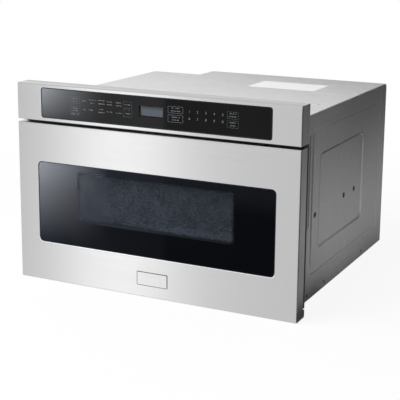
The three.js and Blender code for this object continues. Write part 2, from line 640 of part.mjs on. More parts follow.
// Right side pressing: a raised field, a recessed panel in it, a recessed strip and a rear groove.
// The left side is shorter, so its fields end in front of the left-out corner.
function sidePressing(wrap, rear, side) {
  const top = CABINET_TOP - FIELD_TOP_MARGIN;
  const panelTop = CABINET_TOP - PANEL_TOP_MARGIN;
  const field = [[FIELD_FRONT, rear - FIELD_REAR_MARGIN], [FIELD_BOTTOM, top]];
  const panel = [[PANEL_FRONT, rear - PANEL_REAR_MARGIN], [PANEL_BOTTOM, panelTop]];
  const strip = [[STRIP_FRONT, STRIP_REAR], [STRIP_BOTTOM, top]];
  const groove = [[rear - GROOVE_MARGIN - GROOVE_WIDTH, rear - GROOVE_MARGIN], [FIELD_BOTTOM, top]];
  const raised = CABINET_HALF + PANEL_RISE;
  const inside = CABINET_HALF - SHEET;
  const core = CABINET_HALF - SHEET / 2;
  const panelInside = PANEL_FACE - SHEET;
  const turn = (solid) => (side < 0 ? mirrored(solid) : solid);
  const press = (...sizes) => turn(pressing(...sizes));
  let whole = wrap
    .add(press(field, FIELD_ROUND, core, raised))
    .subtract(press(field, FIELD_ROUND, inside - SHEET, raised - SHEET))
    .add(press(panel, PANEL_ROUND, raised - SHEET, panelInside))
    .subtract(press(panel, PANEL_ROUND, raised + SHEET, PANEL_FACE))
    .add(press(strip, GROOVE_WIDTH, core, panelInside))
    .subtract(press(strip, GROOVE_WIDTH, CABINET_HALF + SHEET, PANEL_FACE))
    .add(press(groove, GROOVE_ROUND, core, inside - GROOVE_DEPTH, GROOVE_SLOPE))
    .subtract(press(groove, GROOVE_ROUND, raised, CABINET_HALF - GROOVE_DEPTH, GROOVE_SLOPE));
  for (const place of SIDE_HOLE_PLACES.filter((at) => at < rear - FIELD_REAR_MARGIN)) {
    const hole = rod(SIDE_HOLE / 2, inside - PANEL_RISE - OVERSHOOT, raised + OVERSHOOT);
    whole = whole.subtract(turn(turned(hole, 'x', [0, place, SLIDE_LEVEL], SMALL_STEPS)));
  }
  return whole;
}

function outerWrap() {
  const shell = cabinetRoom(0, WRAP_FRONT, CABINET_BOTTOM);
  const inner = cabinetRoom(SHEET, WRAP_FRONT - OVERSHOOT, CABINET_BOTTOM - OVERSHOOT);
  const half = CABINET_HALF - SHEET;
  const low = CABINET_BOTTOM - OVERSHOOT;
  const notchHeights = [low, CABINET_TOP - SHEET];
  const notchStart = NOTCH_FRONT - SHEET - OVERSHOOT;
  const notchSide = NOTCH_SIDE + SHEET;
  const backWay = block([-half, half], [CAVITY_BACK, TOTAL_DEPTH + OVERSHOOT],
    [low, CABINET_TOP - REAR_ROLL]);
  const notchWay = block([-half, notchSide], [notchStart, NOTCH_FRONT + OVERSHOOT], notchHeights);
  const notchFace = block([NOTCH_SIDE - OVERSHOOT, notchSide], [notchStart, TOTAL_DEPTH - REAR_ROLL],
    notchHeights);
  let wrap = shell.subtract(inner).subtract(backWay).subtract(notchWay).subtract(notchFace);
  wrap = sidePressing(wrap, TOTAL_DEPTH, 1);
  wrap = sidePressing(wrap, NOTCH_FRONT, -1);
  const beadHalf = CABINET_HALF - TOP_BEAD_MARGIN;
  const beadSection = (drop) => polygon([
    [TOP_BEAD_PLACE - TOP_BEAD_WIDTH / 2, CABINET_TOP - drop - SHEET / 2],
    [TOP_BEAD_PLACE + TOP_BEAD_WIDTH / 2, CABINET_TOP - drop - SHEET / 2],
    [TOP_BEAD_PLACE + TOP_BEAD_WIDTH / 4, CABINET_TOP - drop + TOP_BEAD_RISE],
    [TOP_BEAD_PLACE - TOP_BEAD_WIDTH / 4, CABINET_TOP - drop + TOP_BEAD_RISE],
  ]);
  const hollowHalf = beadHalf - TOP_BEAD_WIDTH;
  return wrap
    .add(prism(beadSection(0), 'x', -beadHalf, beadHalf))
    .subtract(prism(beadSection(SHEET), 'x', -hollowHalf, hollowHalf));
}

function basePan() {
  const inset = PANEL_SET_IN;
  const rear = BACK_INSIDE - FIT;
  const notchInset = PANEL_SET_IN + SHEET + FIT;
  const plan = (more) => polygon([
    [inset + more - CABINET_HALF, FLANGE_FRONT + more],
    [CABINET_HALF - inset - more, FLANGE_FRONT + more],
    [CABINET_HALF - inset - more, rear - more],
    [NOTCH_SIDE + notchInset + more, rear - more],
    [NOTCH_SIDE + notchInset + more, NOTCH_FRONT - notchInset - more],
    [inset + more - CABINET_HALF, NOTCH_FRONT - notchInset - more],
  ]);
  let pan = prism(plan(0), 'z', CABINET_BOTTOM, CABINET_BOTTOM + PAN_FLANGE)
    .subtract(prism(plan(SHEET), 'z', PAN_TOP, CABINET_BOTTOM + PAN_FLANGE + OVERSHOOT));
  const foot = (radius, from, to) => [[0, from], [radius - FOOT_DRAFT, from], [radius, to], [0, to]];
  for (const side of [-1, 1]) {
    for (const place of FOOT_PLACES) {
      const at = [side * (CABINET_HALF - FOOT_SIDE_MARGIN), place, 0];
      pan = pan.add(turned(foot(FOOT_RADIUS, 0, CABINET_BOTTOM + SHEET / 2), 'z', at));
      pan = pan.subtract(turned(foot(FOOT_RADIUS - SHEET, SHEET, PAN_TOP + OVERSHOOT), 'z', at));
    }
  }
  const ventsFrom = TRANSFORMER_X - (PAN_VENT_COLUMNS - 1) * VENT_PITCH / 2;
  for (let i = 0; i < PAN_VENT_COLUMNS; i += 1) {
    const x = ventsFrom + i * VENT_PITCH;
    const ys = [CAVITY_BACK - VENT_LENGTH, CAVITY_BACK];
    pan = pan.subtract(block([x - VENT_WIDTH / 2, x + VENT_WIDTH / 2], ys, [0, PAN_TOP + OVERSHOOT]));
  }
  return pan;
}

function backPanel() {
  const room = cabinetRoom(PANEL_SET_IN, NOTCH_FRONT - PANEL_SET_IN - BACK_LIP, CABINET_BOTTOM);
  const inner = prism(cabinetPlan(PANEL_SET_IN + SHEET, 0), 'z', 0, TOTAL_HEIGHT);
  const rightSide = block([FAN_X, CABINET_HALF], [0, BACK_FACE - BACK_LIP], [0, TOTAL_HEIGHT]);
  const panTop = [0, CABINET_BOTTOM + PAN_FLANGE + FIT];
  let panel = room
    .subtract(inner)
    .subtract(rightSide)
    .subtract(block([-CABINET_HALF, NOTCH_SIDE], [0, NOTCH_FRONT - PANEL_SET_IN - SHEET], panTop))
    .subtract(block([FAN_X, CABINET_HALF], [0, BACK_INSIDE], panTop));
  const vent = (x, z) => block([x - VENT_WIDTH / 2, x + VENT_WIDTH / 2],
    [BACK_INSIDE - OVERSHOOT, TOTAL_DEPTH], [z - VENT_LENGTH / 2, z + VENT_LENGTH / 2]);
  const fanRow = (VENT_LENGTH + VENT_PITCH) / 2;
  for (let i = 0; i < VENT_COLUMNS; i += 1) {
    const offset = (i - (VENT_COLUMNS - 1) / 2) * VENT_PITCH;
    for (const row of [-1, 1]) {
      panel = panel
        .subtract(vent(FAN_X + offset, FAN_LEVEL + row * fanRow))
        .subtract(vent(offset, CABINET_TOP / 2 + row * VENT_LENGTH));
    }
  }
  const glandHole = rod(GLAND_RADIUS + FIT, NOTCH_FRONT - BACK_LIP, NOTCH_FRONT + OVERSHOOT);
  return panel.subtract(turned(glandHole, 'y', [GLAND_X, 0, GLAND_LEVEL]));
}

function cordGland() {
  const face = NOTCH_FRONT - PANEL_SET_IN;
  const inside = face - SHEET;
  const flange = GLAND_RADIUS + GLAND_LIP;
  const profile = [
    [GLAND_BORE, inside - GLAND_NUT],
    [flange, inside - GLAND_NUT],
    [flange, inside - FIT],
    [GLAND_RADIUS, inside - FIT],
    [GLAND_RADIUS, face + FIT],
    [flange, face + FIT],
    [flange - SHEET, face + GLAND_HEAD],
    [GLAND_BORE, face + GLAND_HEAD],
    [GLAND_BORE, inside - GLAND_NUT],
  ];
  return turned(profile, 'y', [GLAND_X, 0, GLAND_LEVEL]);
}

// ---- Front frame and control panel ----

// Outline of the mounting frame between two depths; its upper part stands inside the fascia
function frameBlank(front, back) {
  const upperHalf = FRONT_HALF - SKIN - FIT;
  const lower = block([-FRONT_HALF, FRONT_HALF], [front, back], [FRAME_SILL, FASCIA_BOTTOM - FIT]);
  const upper = block([-upperHalf, upperHalf], [front, back],
    [FASCIA_BOTTOM - SKIN, TOTAL_HEIGHT - SKIN - FIT]);
  return joined(lower, upper);
}

function mountingFrame() {
  const besideCabinet = block([-CABINET_HALF - FIT, CABINET_HALF + FIT], [0, TOTAL_DEPTH],
    [0, CABINET_TOP + FIT]);
  const border = frameBlank(FRAME_FRONT, FRAME_BACK + BORDER_RISE).subtract(besideCabinet);
  const through = [FRAME_FRONT - OVERSHOOT, FRAME_BACK + OVERSHOOT];
  const mouth = block([-OPENING_HALF, OPENING_HALF], through, [OPENING_BOTTOM, OPENING_TOP]);
  const slideWay = SLIDE_SEAT - SLIDE_STEEL + FIT;
  const wayTop = SLIDE_LEVEL + SLIDE_HEIGHT / 2 + FIT;
  const wayBottom = Math.min(RACK_LEVEL - MODULE * 2, SLIDE_LEVEL - SLIDE_HEIGHT / 2) - SLIDE_STEEL;
  const ways = block([-slideWay, slideWay], through, [wayBottom, wayTop]);
  let frame = frameBlank(FRAME_FRONT, FRAME_BACK).add(border).subtract(mouth).subtract(ways);
  const slotHalf = TONGUE_WIDTH / 2 + TONGUE_CLEARANCE;
  const slotRise = TONGUE_HEIGHT / 2 + TONGUE_CLEARANCE;
  const tabs = [FRAME_FRONT, STRIP_FRONT - SHEET - 2 * FIT];
  const tabOuter = CABINET_HALF - SHEET - FIT;
  const tabHeights = [[CAVITY_FLOOR, PANEL_BOTTOM], [wayTop + PAN_FLANGE, CABINET_TOP - TOP_BEAD_MARGIN]];
  for (const side of [-1, 1]) {
    const middle = side * INTERLOCK_PLACE;
    frame = frame.subtract(block([middle - slotHalf, middle + slotHalf], through,
      [TONGUE_LEVEL - slotRise, TONGUE_LEVEL + slotRise]));
    for (const heights of tabHeights) {
      frame = frame.add(block([side * tabOuter, side * (tabOuter - SHEET)], tabs, heights));
    }
  }
  const topTab = block([FLANGE_HALF, -FLANGE_HALF], tabs,
    [CABINET_TOP - 2 * SHEET - FIT, CABINET_TOP - SHEET - FIT]);
  return frame.add(topTab);
}

// A shallow pan of skin with rounded front edges, open at the back
function skinPan([x0, x1], [z0, z1], depth) {
  const room = rounded([x0 + SKIN, x1 - SKIN], [z0 + SKIN, z1 - SKIN], EDGE_ROUND - SKIN);
  const ring = (inset, y) => {
    const shape = rounded([x0 + inset, x1 - inset], [z0 + inset, z1 - inset], EDGE_ROUND);
    return shape.getPoints(ARC_STEPS).slice(0, -1).map((p) => new THREE.Vector3(p.x, y, p.y));
  };
  const nose = [0, 1, 2].map((step) => {
    const angle = step * Math.PI / 4;
    return ring(EDGE_ROUND * (1 - Math.cos(angle)), EDGE_ROUND * (1 - Math.sin(angle)));
  });
  const outer = loft([ring(0, depth), ...nose]);
  return outer.subtract(prism(room, 'y', SKIN, depth + OVERSHOOT));
}

const controlOutline = (grow) => rounded([-CONTROL_HALF - grow, CONTROL_HALF + grow],
  [FASCIA_MIDDLE - CONTROL_HEIGHT / 2 - grow, FASCIA_MIDDLE + CONTROL_HEIGHT / 2 + grow],
  CONTROL_ROUND + grow);

function controlFascia() {
  const pan = skinPan([-FRONT_HALF, FRONT_HALF], [FASCIA_BOTTOM, TOTAL_HEIGHT], FRAME_BACK);
  const half = FRONT_HALF - SKIN;
  const sill = block([-half, half], [FASCIA_SILL_DEPTH, FRAME_BACK + OVERSHOOT],
    [FASCIA_BOTTOM - OVERSHOOT, FASCIA_BOTTOM + SKIN]);
  const window = prism(controlOutline(FIT), 'y', -OVERSHOOT, SKIN + OVERSHOOT);
  return pan.subtract(sill).subtract(window);
}

// Box behind the control glass, open at the back, with a way for the display through its face
function controlHousing() {
  const wall = HOUSING_WALL;
  const height = FASCIA_HEIGHT / 2 - SKIN - FIT;
  const half = CONTROL_HALF + HOUSING_MARGIN;
  const body = block([-half, half], [DOOR_FRAME_FRONT, HOUSING_BACK],
    [FASCIA_MIDDLE - height, FASCIA_MIDDLE + height]);
  const hollow = block([wall - half, half - wall], [HOUSING_POCKET + wall, HOUSING_BACK + OVERSHOOT],
    [FASCIA_MIDDLE - height + wall, FASCIA_MIDDLE + height - wall]);
  const displayHalf = DISPLAY_WIDTH / 2 + FIT;
  const displayRise = DISPLAY_HEIGHT / 2 + FIT;
  const displayWay = block([-displayHalf, displayHalf], [0, HOUSING_POCKET + 2 * wall],
    [DISPLAY_MIDDLE - displayRise, DISPLAY_MIDDLE + displayRise]);
  const glassPocket = prism(controlOutline(FIT), 'y', 0, HOUSING_POCKET);
  return body.subtract(glassPocket).subtract(hollow).subtract(displayWay);
}

function displayModule() {
  return block([-DISPLAY_WIDTH / 2, DISPLAY_WIDTH / 2], [HOUSING_POCKET, HOUSING_POCKET + DISPLAY_DEPTH],
    [DISPLAY_MIDDLE - DISPLAY_HEIGHT / 2, DISPLAY_MIDDLE + DISPLAY_HEIGHT / 2]);
}

function controlBoard() {
  const front = HOUSING_POCKET + DISPLAY_DEPTH + FIT;
  const back = front + BOARD_THICKNESS;
  const half = CONTROL_HALF - CONTROL_BOARD_MARGIN;
  const height = CONTROL_HEIGHT / 2 - CONTROL_ROUND;
  let board = block([-half, half], [front, back], [FASCIA_MIDDLE - height, FASCIA_MIDDLE + height]);
  for (const [x, side, rise] of CONTROL_BOARD_PARTS) {
    const place = Math.sign(x) * Math.min(Math.abs(x), half - side / 2);
    const end = Math.min(back + rise, HOUSING_BACK - FIT);
    board = board.add(block([place - side / 2, place + side / 2], [front, end],
      [FASCIA_MIDDLE - side / 2, FASCIA_MIDDLE + side / 2]));
  }
  return board;
}

// ---- Drawer ----

const windowOutline = (grow) => rounded([-WINDOW_HALF - grow, WINDOW_HALF + grow],
  [WINDOW_SILL - grow, WINDOW_SILL + WINDOW_HEIGHT + grow], WINDOW_ROUND + grow);

// The view through the door, as large as the perforated field and more
const viewWay = (grow, from, to) => block([-SCREEN_WIDTH / 2 - grow, SCREEN_WIDTH / 2 + grow], [from, to],
  [SCREEN_SILL - grow, SCREEN_SILL + SCREEN_HEIGHT + grow]);

function drawerFront() {
  const pan = skinPan([-FRONT_HALF, FRONT_HALF], [GROUND_CLEARANCE, DRAWER_TOP], FRAME_BACK);
  const half = FRONT_HALF + OVERSHOOT;
  const skirt = FRAME_SILL - FRONT_GAP / 2;
  const back = block([-half, half], [RETURN_DEPTH, FRAME_BACK + OVERSHOOT], [skirt, TOTAL_HEIGHT]);
  return pan.subtract(back).subtract(prism(windowOutline(FIT), 'y', -OVERSHOOT, SKIN + OVERSHOOT));
}

// Plastic frame behind the skin: a pocket for the glass, the view through it, and hollows in its back
function doorFrame() {
  const half = FRONT_HALF - SKIN - FIT;
  const heights = [GROUND_CLEARANCE + SKIN + FIT, DRAWER_TOP - SKIN - FIT];
  const outline = rounded([-half, half], heights, EDGE_ROUND);
  let frame = prism(outline, 'y', DOOR_FRAME_FRONT, DOOR_FRAME_BACK)
    .subtract(prism(windowOutline(FIT), 'y', 0, GLASS_BACK + FIT))
    .subtract(viewWay(0, 0, DOOR_FRAME_BACK + OVERSHOOT));
  const pocketFloor = DOOR_FRAME_FRONT + DOOR_FRAME_DEPTH / 2;
  const edge = CHOKE_PLATE_BORDER;
  const pitch = 2 * (half - edge) / DOOR_FRAME_COLUMNS;
  for (let i = 0; i < DOOR_FRAME_COLUMNS; i += 1) {
    const x = edge - half + i * pitch;
    const xs = [x + DOOR_FRAME_RIB / 2, x + pitch - DOOR_FRAME_RIB / 2];
    for (const zs of [[edge, WINDOW_SILL - edge], [WINDOW_SILL + WINDOW_HEIGHT + edge, DRAWER_TOP - edge]]) {
      frame = frame.subtract(block(xs, [pocketFloor, DOOR_FRAME_BACK + OVERSHOOT], zs));
    }
  }
  return frame;
}

function windowScreen() {
  return viewWay(SCREEN_MARGIN, SCREEN_FRONT, SCREEN_BACK);
}

// A ring of the microwave choke round the cavity's mouth, drawn in by an inset
const chokeRing = (inset, from, to) => prism(
  rounded([inset - CHOKE_HALF, CHOKE_HALF - inset], [CHOKE_BOTTOM + inset, CHOKE_TOP - inset], CHOKE_ROUND),
  'y', from, to);

// Door plate with the channel of the microwave choke pressed round it
function chokePan() {
  const half = FRONT_HALF - SKIN - CHOKE_PLATE_BORDER;
  const plate = block([-half, half], [CHOKE_PLATE_FRONT, CHOKE_PLATE_BACK],
    [GROUND_CLEARANCE + CHOKE_PLATE_BORDER, DRAWER_TOP - SKIN - CHOKE_PLATE_BORDER / 2]);
  const rimEnd = CHOKE_RIM + OVERSHOOT;
  const body = chokeRing(0, CHOKE_PLATE_FRONT, CHOKE_RIM)
    .subtract(chokeRing(CHOKE_BAND, CHOKE_PLATE_BACK, rimEnd));
  const channel = chokeRing(SHEET, CHOKE_PLATE_BACK, rimEnd)
    .subtract(chokeRing(CHOKE_BAND - SHEET, 0, rimEnd + OVERSHOOT));
  const view = viewWay(SCREEN_MARGIN / 2, 0, CHOKE_PLATE_BACK + OVERSHOOT);
  return plate.add(body).subtract(channel).subtract(view);
}

// Plastic cover of the choke's channel, keyed into it
function chokeCover() {
  const end = SEAL_BACK + OVERSHOOT;
  const plate = chokeRing(0, CHOKE_RIM + FIT, SEAL_BACK).subtract(chokeRing(CHOKE_BAND, 0, end));
  const keyIn = SHEET + FIT;
  const key = chokeRing(keyIn, CHOKE_RIM - 2 * SHEET, CHOKE_RIM + FIT + CHOKE_COVER / 2)
    .subtract(chokeRing(keyIn + SHEET, 0, end));
  return plate.add(key);
}

function drawerBowl() {
  const outer = rounded([-BOWL_OUTER, BOWL_OUTER], [BOWL_FRONT, BOWL_BACK], BOWL_CORNER);
  const half = BOWL_WIDTH / 2;
  const inner = rounded([-half, half], [BOWL_INSIDE, BOWL_END], BOWL_CORNER - CAVITY_WALL);
  return prism(outer, 'z', BOWL_UNDER, BOWL_RIM)
    .subtract(prism(inner, 'z', BOWL_FLOOR, BOWL_RIM + OVERSHOOT))
    .subtract(viewWay(SCREEN_MARGIN / 2, BOWL_FRONT - OVERSHOOT, BOWL_INSIDE + OVERSHOOT));
}

function glassTray() {
  const half = BOWL_WIDTH / 2 - TRAY_MARGIN;
  const outline = rounded([-half, half], [BOWL_INSIDE + TRAY_MARGIN, BOWL_END - TRAY_MARGIN], BOWL_CORNER);
  return prism(outline, 'z', BOWL_FLOOR + FIT, TRAY_TOP);
}

function innerWindow() {
  const front = BOWL_INSIDE + FIT;
  return viewWay(SCREEN_MARGIN, front, front + INNER_WINDOW_THICKNESS);
}

// ---- Telescopic slides: three nested channels, drawn by depth from the seat and height ----

// A member's upper half, outside and inside, is mirrored about the slide's centre line
function slideMember(outside, inside, from, to) {
  const flip = (profile) => profile.map(([depth, height]) => [depth, -height]);
  const outline = [...outside, ...flip(outside).reverse(), ...flip(inside), ...inside.slice().reverse()];
  const placed = outline.map(([depth, height]) => [SLIDE_SEAT - depth, SLIDE_LEVEL + height]);
  return prism(polygon(placed), 'y', from, to);
}

// A channel that opens away from its seat, with turned-in lips
function slideChannel(near, far, half, lip, from, to) {
  const t = SLIDE_STEEL;
  const edge = half - t - lip;
  const outside = [[far, edge], [far, half], [near, half]];
  const inside = [[far - t, edge], [far - t, half - t], [near + t, half - t]];
  return slideMember(outside, inside, from, to);
}

function slideOuter() {
  return slideChannel(0, SLIDE_THICKNESS, OUTER_HALF, OUTER_LIP, SLIDE_FRONT, SLIDE_END);
}

function slideMiddle() {
  return slideChannel(MIDDLE_NEAR, MIDDLE_FAR, MIDDLE_HALF, MIDDLE_LIP,
    SLIDE_FRONT + MIDDLE_STEP, SLIDE_END - MIDDLE_STEP);
}

// A hat section, whose crown comes out between the lips of the middle channel
function slideInner() {
  const t = SLIDE_STEEL;
  const near = MIDDLE_NEAR + t + SLIDE_PLAY;
  const far = MIDDLE_FAR - t - SLIDE_PLAY;
  const crown = MIDDLE_HALF - t - MIDDLE_LIP - SLIDE_PLAY;
  const profile = (wall) => [
    [near, INNER_HALF - wall],
    [far - wall, INNER_HALF - wall],
    [far - wall, crown - wall],
    [SLIDE_THICKNESS - wall, crown - wall],
  ];
  return slideMember(profile(0), profile(t), SLIDE_FRONT - INNER_LEAD, SLIDE_END - 2 * MIDDLE_STEP);
}

// Arm that carries a slide's inner member on the door plate
function slideArm(length) {
  const zs = [SLIDE_LEVEL - ARM_HEIGHT / 2, SLIDE_LEVEL + ARM_HEIGHT / 2];
  const front = CHOKE_PLATE_BACK + FIT;
  const web = block([ARM_INNER, ARM_OUTER], [front, front + length], zs);
  const foot = block([ARM_INNER, ARM_INNER + ARM_FOOT], [front, front + ARM_THICKNESS], zs);
  return joined(web, foot);
}

// ---- Rack drive ----

function driveRack() {
  const tip = RACK_LEVEL - MODULE;
  const root = RACK_LEVEL + TOOTH_ROOT;
  const halfAtPitch = (PITCH - BACKLASH) / 4;
  const halfTip = halfAtPitch - MODULE * Math.tan(PRESSURE_ANGLE);
  const halfRoot = halfAtPitch + TOOTH_ROOT * Math.tan(PRESSURE_ANGLE);
  const first = Math.ceil((RACK_START - PINION_PLACE) / PITCH + 0.5);
  const last = Math.floor((RACK_END - PINION_PLACE) / PITCH - 0.5);
  const points = [[RACK_START, root + RACK_BACK], [RACK_START, root]];
  for (let tooth = first; tooth <= last; tooth += 1) {
    const y = PINION_PLACE + tooth * PITCH;
    points.push([y - halfRoot, root], [y - halfTip, tip], [y + halfTip, tip], [y + halfRoot, root]);
  }
  points.push([RACK_END, root], [RACK_END, root + RACK_BACK]);
  return prism(polygon(points), 'x', RACK_INNER, RACK_OUTER);
}

// Involute teeth: half the angle that a tooth covers at a radius
function drivePinion() {
  const base = PINION_RADIUS * Math.cos(PRESSURE_ANGLE);
  const tip = PINION_RADIUS + MODULE;
  const root = PINION_RADIUS - TOOTH_ROOT;
  const involute = (radius) => {
    const angle = Math.acos(Math.min(1, base / radius));
    return Math.tan(angle) - angle;
  };
  const halfAtPitch = (PITCH - BACKLASH) / 4 / PINION_RADIUS;
  const halfAt = (radius) => halfAtPitch + involute(PINION_RADIUS) - involute(Math.max(radius, base));
  const flank = [root, base, (base + PINION_RADIUS) / 2, PINION_RADIUS, (PINION_RADIUS + tip) / 2, tip];
  const step = 2 * Math.PI / PINION_TEETH;
  const points = [];
  for (let tooth = 0; tooth < PINION_TEETH; tooth += 1) {
    const middle = Math.PI / 2 + (tooth + 0.5) * step;
    const put = (radius, angle) => {
      points.push([PINION_PLACE + radius * Math.cos(angle), PINION_LEVEL + radius * Math.sin(angle)]);
    };
    flank.forEach((radius) => put(radius, middle - halfAt(radius)));
    flank.slice().reverse().forEach((radius) => put(radius, middle + halfAt(radius)));
  }
  const gear = prism(polygon(points), 'x', RACK_INNER, RACK_OUTER - FIT);
  const at = [0, PINION_PLACE, PINION_LEVEL];
  const boss = turned(rod(SHAFT_RADIUS * 2, RACK_INNER - SHAFT_RADIUS, RACK_INNER + SHEET), 'x', at);
  const shaft = turned(rod(SHAFT_RADIUS, CAVITY_OUTER + DRIVE_BAY / 2, RACK_INNER + SHEET), 'x', at);
  return joined(gear, boss, shaft);
}

function driveMotor() {
  const at = [0, PINION_PLACE, PINION_LEVEL];
  const can = turned([
    [0, MOTOR_INNER],
    [MOTOR_RADIUS, MOTOR_INNER],
    [MOTOR_RADIUS, MOTOR_OUTER - MOTOR_BEVEL],
    [MOTOR_RADIUS - MOTOR_BEVEL, MOTOR_OUTER],
    [0, MOTOR_OUTER],
  ], 'x', at, LARGE_STEPS);
  const boreEnd = CAVITY_OUTER + DRIVE_BAY / 2 - SHAFT_PLAY;
  const bore = turned(rod(SHAFT_RADIUS + SHAFT_PLAY, boreEnd, MOTOR_OUTER + OVERSHOOT), 'x', at);
  const ear = MOTOR_RADIUS + MOTOR_EAR_REACH;
  const ears = block([MOTOR_INNER, MOTOR_INNER + BRACKET_THICKNESS], [PINION_PLACE - ear, PINION_PLACE + ear],
    [PINION_LEVEL - MOTOR_EAR_WIDTH / 2, PINION_LEVEL + MOTOR_EAR_WIDTH / 2]);
  const underside = PINION_LEVEL - MOTOR_RADIUS - MOTOR_TERMINAL_REACH;
  const terminals = block([MOTOR_INNER, MOTOR_INNER + MOTOR_TERMINAL_DEPTH],
    [PINION_PLACE - MOTOR_TERMINAL_WIDTH / 2, PINION_PLACE + MOTOR_TERMINAL_WIDTH / 2],
    [underside, underside + MOTOR_TERMINAL_HEIGHT]);
  return joined(can, ears, terminals).subtract(bore);
}

function driveBracket() {
  const inner = CAVITY_OUTER + FIT;
  const reach = MOTOR_RADIUS + BRACKET_MARGIN;
  const ys = [PINION_PLACE - reach, PINION_PLACE + reach];
  const low = PINION_LEVEL - reach;
  const plate = block([inner, inner + BRACKET_THICKNESS], ys, [low, PINION_LEVEL + reach]);
  const shelf = block([inner, MOTOR_OUTER], ys, [low, low + BRACKET_THICKNESS]);
  return joined(plate, shelf);
}

function interlockTongue() {
  const front = CHOKE_PLATE_BACK + FIT;
  const section = polygon([
    [front, TONGUE_LEVEL - TONGUE_HEIGHT / 2],
    [TONGUE_REACH - TONGUE_WIDTH, TONGUE_LEVEL - TONGUE_HEIGHT / 2],
    [TONGUE_REACH, TONGUE_LEVEL - TONGUE_WIDTH / 2],
    [TONGUE_REACH, TONGUE_LEVEL + TONGUE_WIDTH / 2],
    [TONGUE_REACH - TONGUE_WIDTH, TONGUE_LEVEL + TONGUE_HEIGHT / 2],
    [front, TONGUE_LEVEL + TONGUE_HEIGHT / 2],
  ]);
  const half = TONGUE_WIDTH / 2;
  return prism(section, 'x', INTERLOCK_PLACE - half, INTERLOCK_PLACE + half);
}

function interlockSwitches() {
  const wide = TONGUE_WIDTH / 2 + TONGUE_CLEARANCE;
  const tall = TONGUE_HEIGHT / 2 + TONGUE_CLEARANCE;
  const front = FRAME_BACK + FIT;
  const rear = front + SWITCH_LENGTH;
  const top = TONGUE_LEVEL + tall + SWITCH_WALL;
  const across = (half) => [INTERLOCK_PLACE - half, INTERLOCK_PLACE + half];
  const body = block(across(wide + SWITCH_WALL), [front, rear], [TONGUE_LEVEL - tall - SWITCH_WALL, top]);
  const way = block(across(wide), [0, TOTAL_DEPTH], [TONGUE_LEVEL - tall, TONGUE_LEVEL + tall]);
  const terminalFront = rear - SWITCH_TERMINAL_PLACE;
  const terminals = block(across(wide), [terminalFront, terminalFront + TONGUE_WIDTH],
    [top - SWITCH_WALL / 2, top + SWITCH_WALL]);
  return body.subtract(way).add(terminals);
}

// ---- Oven cavity ----

// The waveguide's opening into the cavity, between two heights
const feedWay = (from, to) => block([-FEED_WIDTH / 2, FEED_WIDTH / 2],
  [STIRRER_PLACE - FEED_DEPTH / 2, STIRRER_PLACE + FEED_DEPTH / 2], [from, to]);

function ovenCavity() {
  const shell = block([-CAVITY_OUTER, CAVITY_OUTER], [FLANGE_FRONT, CAVITY_BACK],
    [CAVITY_FLOOR_UNDER, CAVITY_TOP]);
  const flange = block([-FLANGE_HALF, FLANGE_HALF], [FLANGE_FRONT, FLANGE_BACK], [FLANGE_BOTTOM, FLANGE_TOP]);
  const room = block([-CAVITY_INNER, CAVITY_INNER], [FLANGE_FRONT - OVERSHOOT, CAVITY_END],
    [CAVITY_FLOOR, CAVITY_CEILING]);
  const through = [CAVITY_CEILING - OVERSHOOT, CAVITY_TOP + OVERSHOOT];
  const lamp = turned(rod(LAMP_RADIUS - OVERSHOOT, ...through), 'z', [LAMP_X, LAMP_PLACE, 0]);
  return joined(shell, flange).subtract(room).subtract(feedWay(...through)).subtract(lamp);
}

// A channel between the base pan and the cavity floor
function cavityRail() {
  const half = RAIL_WIDTH / 2;
  const low = PAN_TOP + FIT;
  const high = CAVITY_FLOOR_UNDER - FIT;
  const ys = [RAIL_START, CAVITY_BACK - RAIL_END_MARGIN];
  const body = block([RAIL_PLACE - half, RAIL_PLACE + half], ys, [low, high]);
  const hollow = block([RAIL_PLACE - half - OVERSHOOT, RAIL_PLACE + half - RAIL_STEEL], [0, TOTAL_DEPTH],
    [low + RAIL_STEEL, high - RAIL_STEEL]);
  return body.subtract(hollow);
}

function waveguide() {
  const half = GUIDE_WIDTH / 2;
  const end = MAGNETRON_Y + YOKE_DEPTH / 2;
  const body = block([-half, half], [GUIDE_START, end], [GUIDE_UNDER, GUIDE_TOP]);
  const hollow = block([GUIDE_WALL - half, half - GUIDE_WALL], [GUIDE_START + GUIDE_WALL, end - GUIDE_WALL],
    [GUIDE_UNDER + GUIDE_WALL, GUIDE_TOP - GUIDE_WALL]);
  const foot = half + GUIDE_FLANGE;
  const flange = block([-foot, foot], [GUIDE_START - GUIDE_FLANGE, CAVITY_BACK - GUIDE_FLANGE],
    [GUIDE_UNDER, GUIDE_UNDER + GUIDE_WALL]);
  const floorWay = [GUIDE_UNDER - OVERSHOOT, GUIDE_UNDER + GUIDE_WALL + OVERSHOOT];
  const roofWay = [GUIDE_TOP - GUIDE_WALL - OVERSHOOT, GUIDE_TOP + OVERSHOOT];
  const antenna = turned(rod(ANTENNA_RADIUS + GUIDE_FLANGE / 2, ...floorWay), 'z', [0, MAGNETRON_Y, 0]);
  const shaft = turned(rod(SHAFT_RADIUS + SHAFT_PLAY, ...roofWay), 'z', [0, STIRRER_PLACE, 0]);
  return joined(body, flange)
    .subtract(hollow)
    .subtract(feedWay(...floorWay))
    .subtract(antenna)
    .subtract(shaft);
}

function stirrerCover() {
  const outline = (inset) => rounded([inset - COVER_HALF, COVER_HALF - inset],
    [STIRRER_PLACE - COVER_HALF + inset, STIRRER_PLACE + COVER_HALF - inset], BOWL_CORNER - inset);
  return prism(outline(0), 'z', COVER_UNDER, CAVITY_CEILING - FIT)
    .subtract(prism(outline(COVER_STEEL), 'z', COVER_UNDER + COVER_STEEL, CAVITY_CEILING));
}

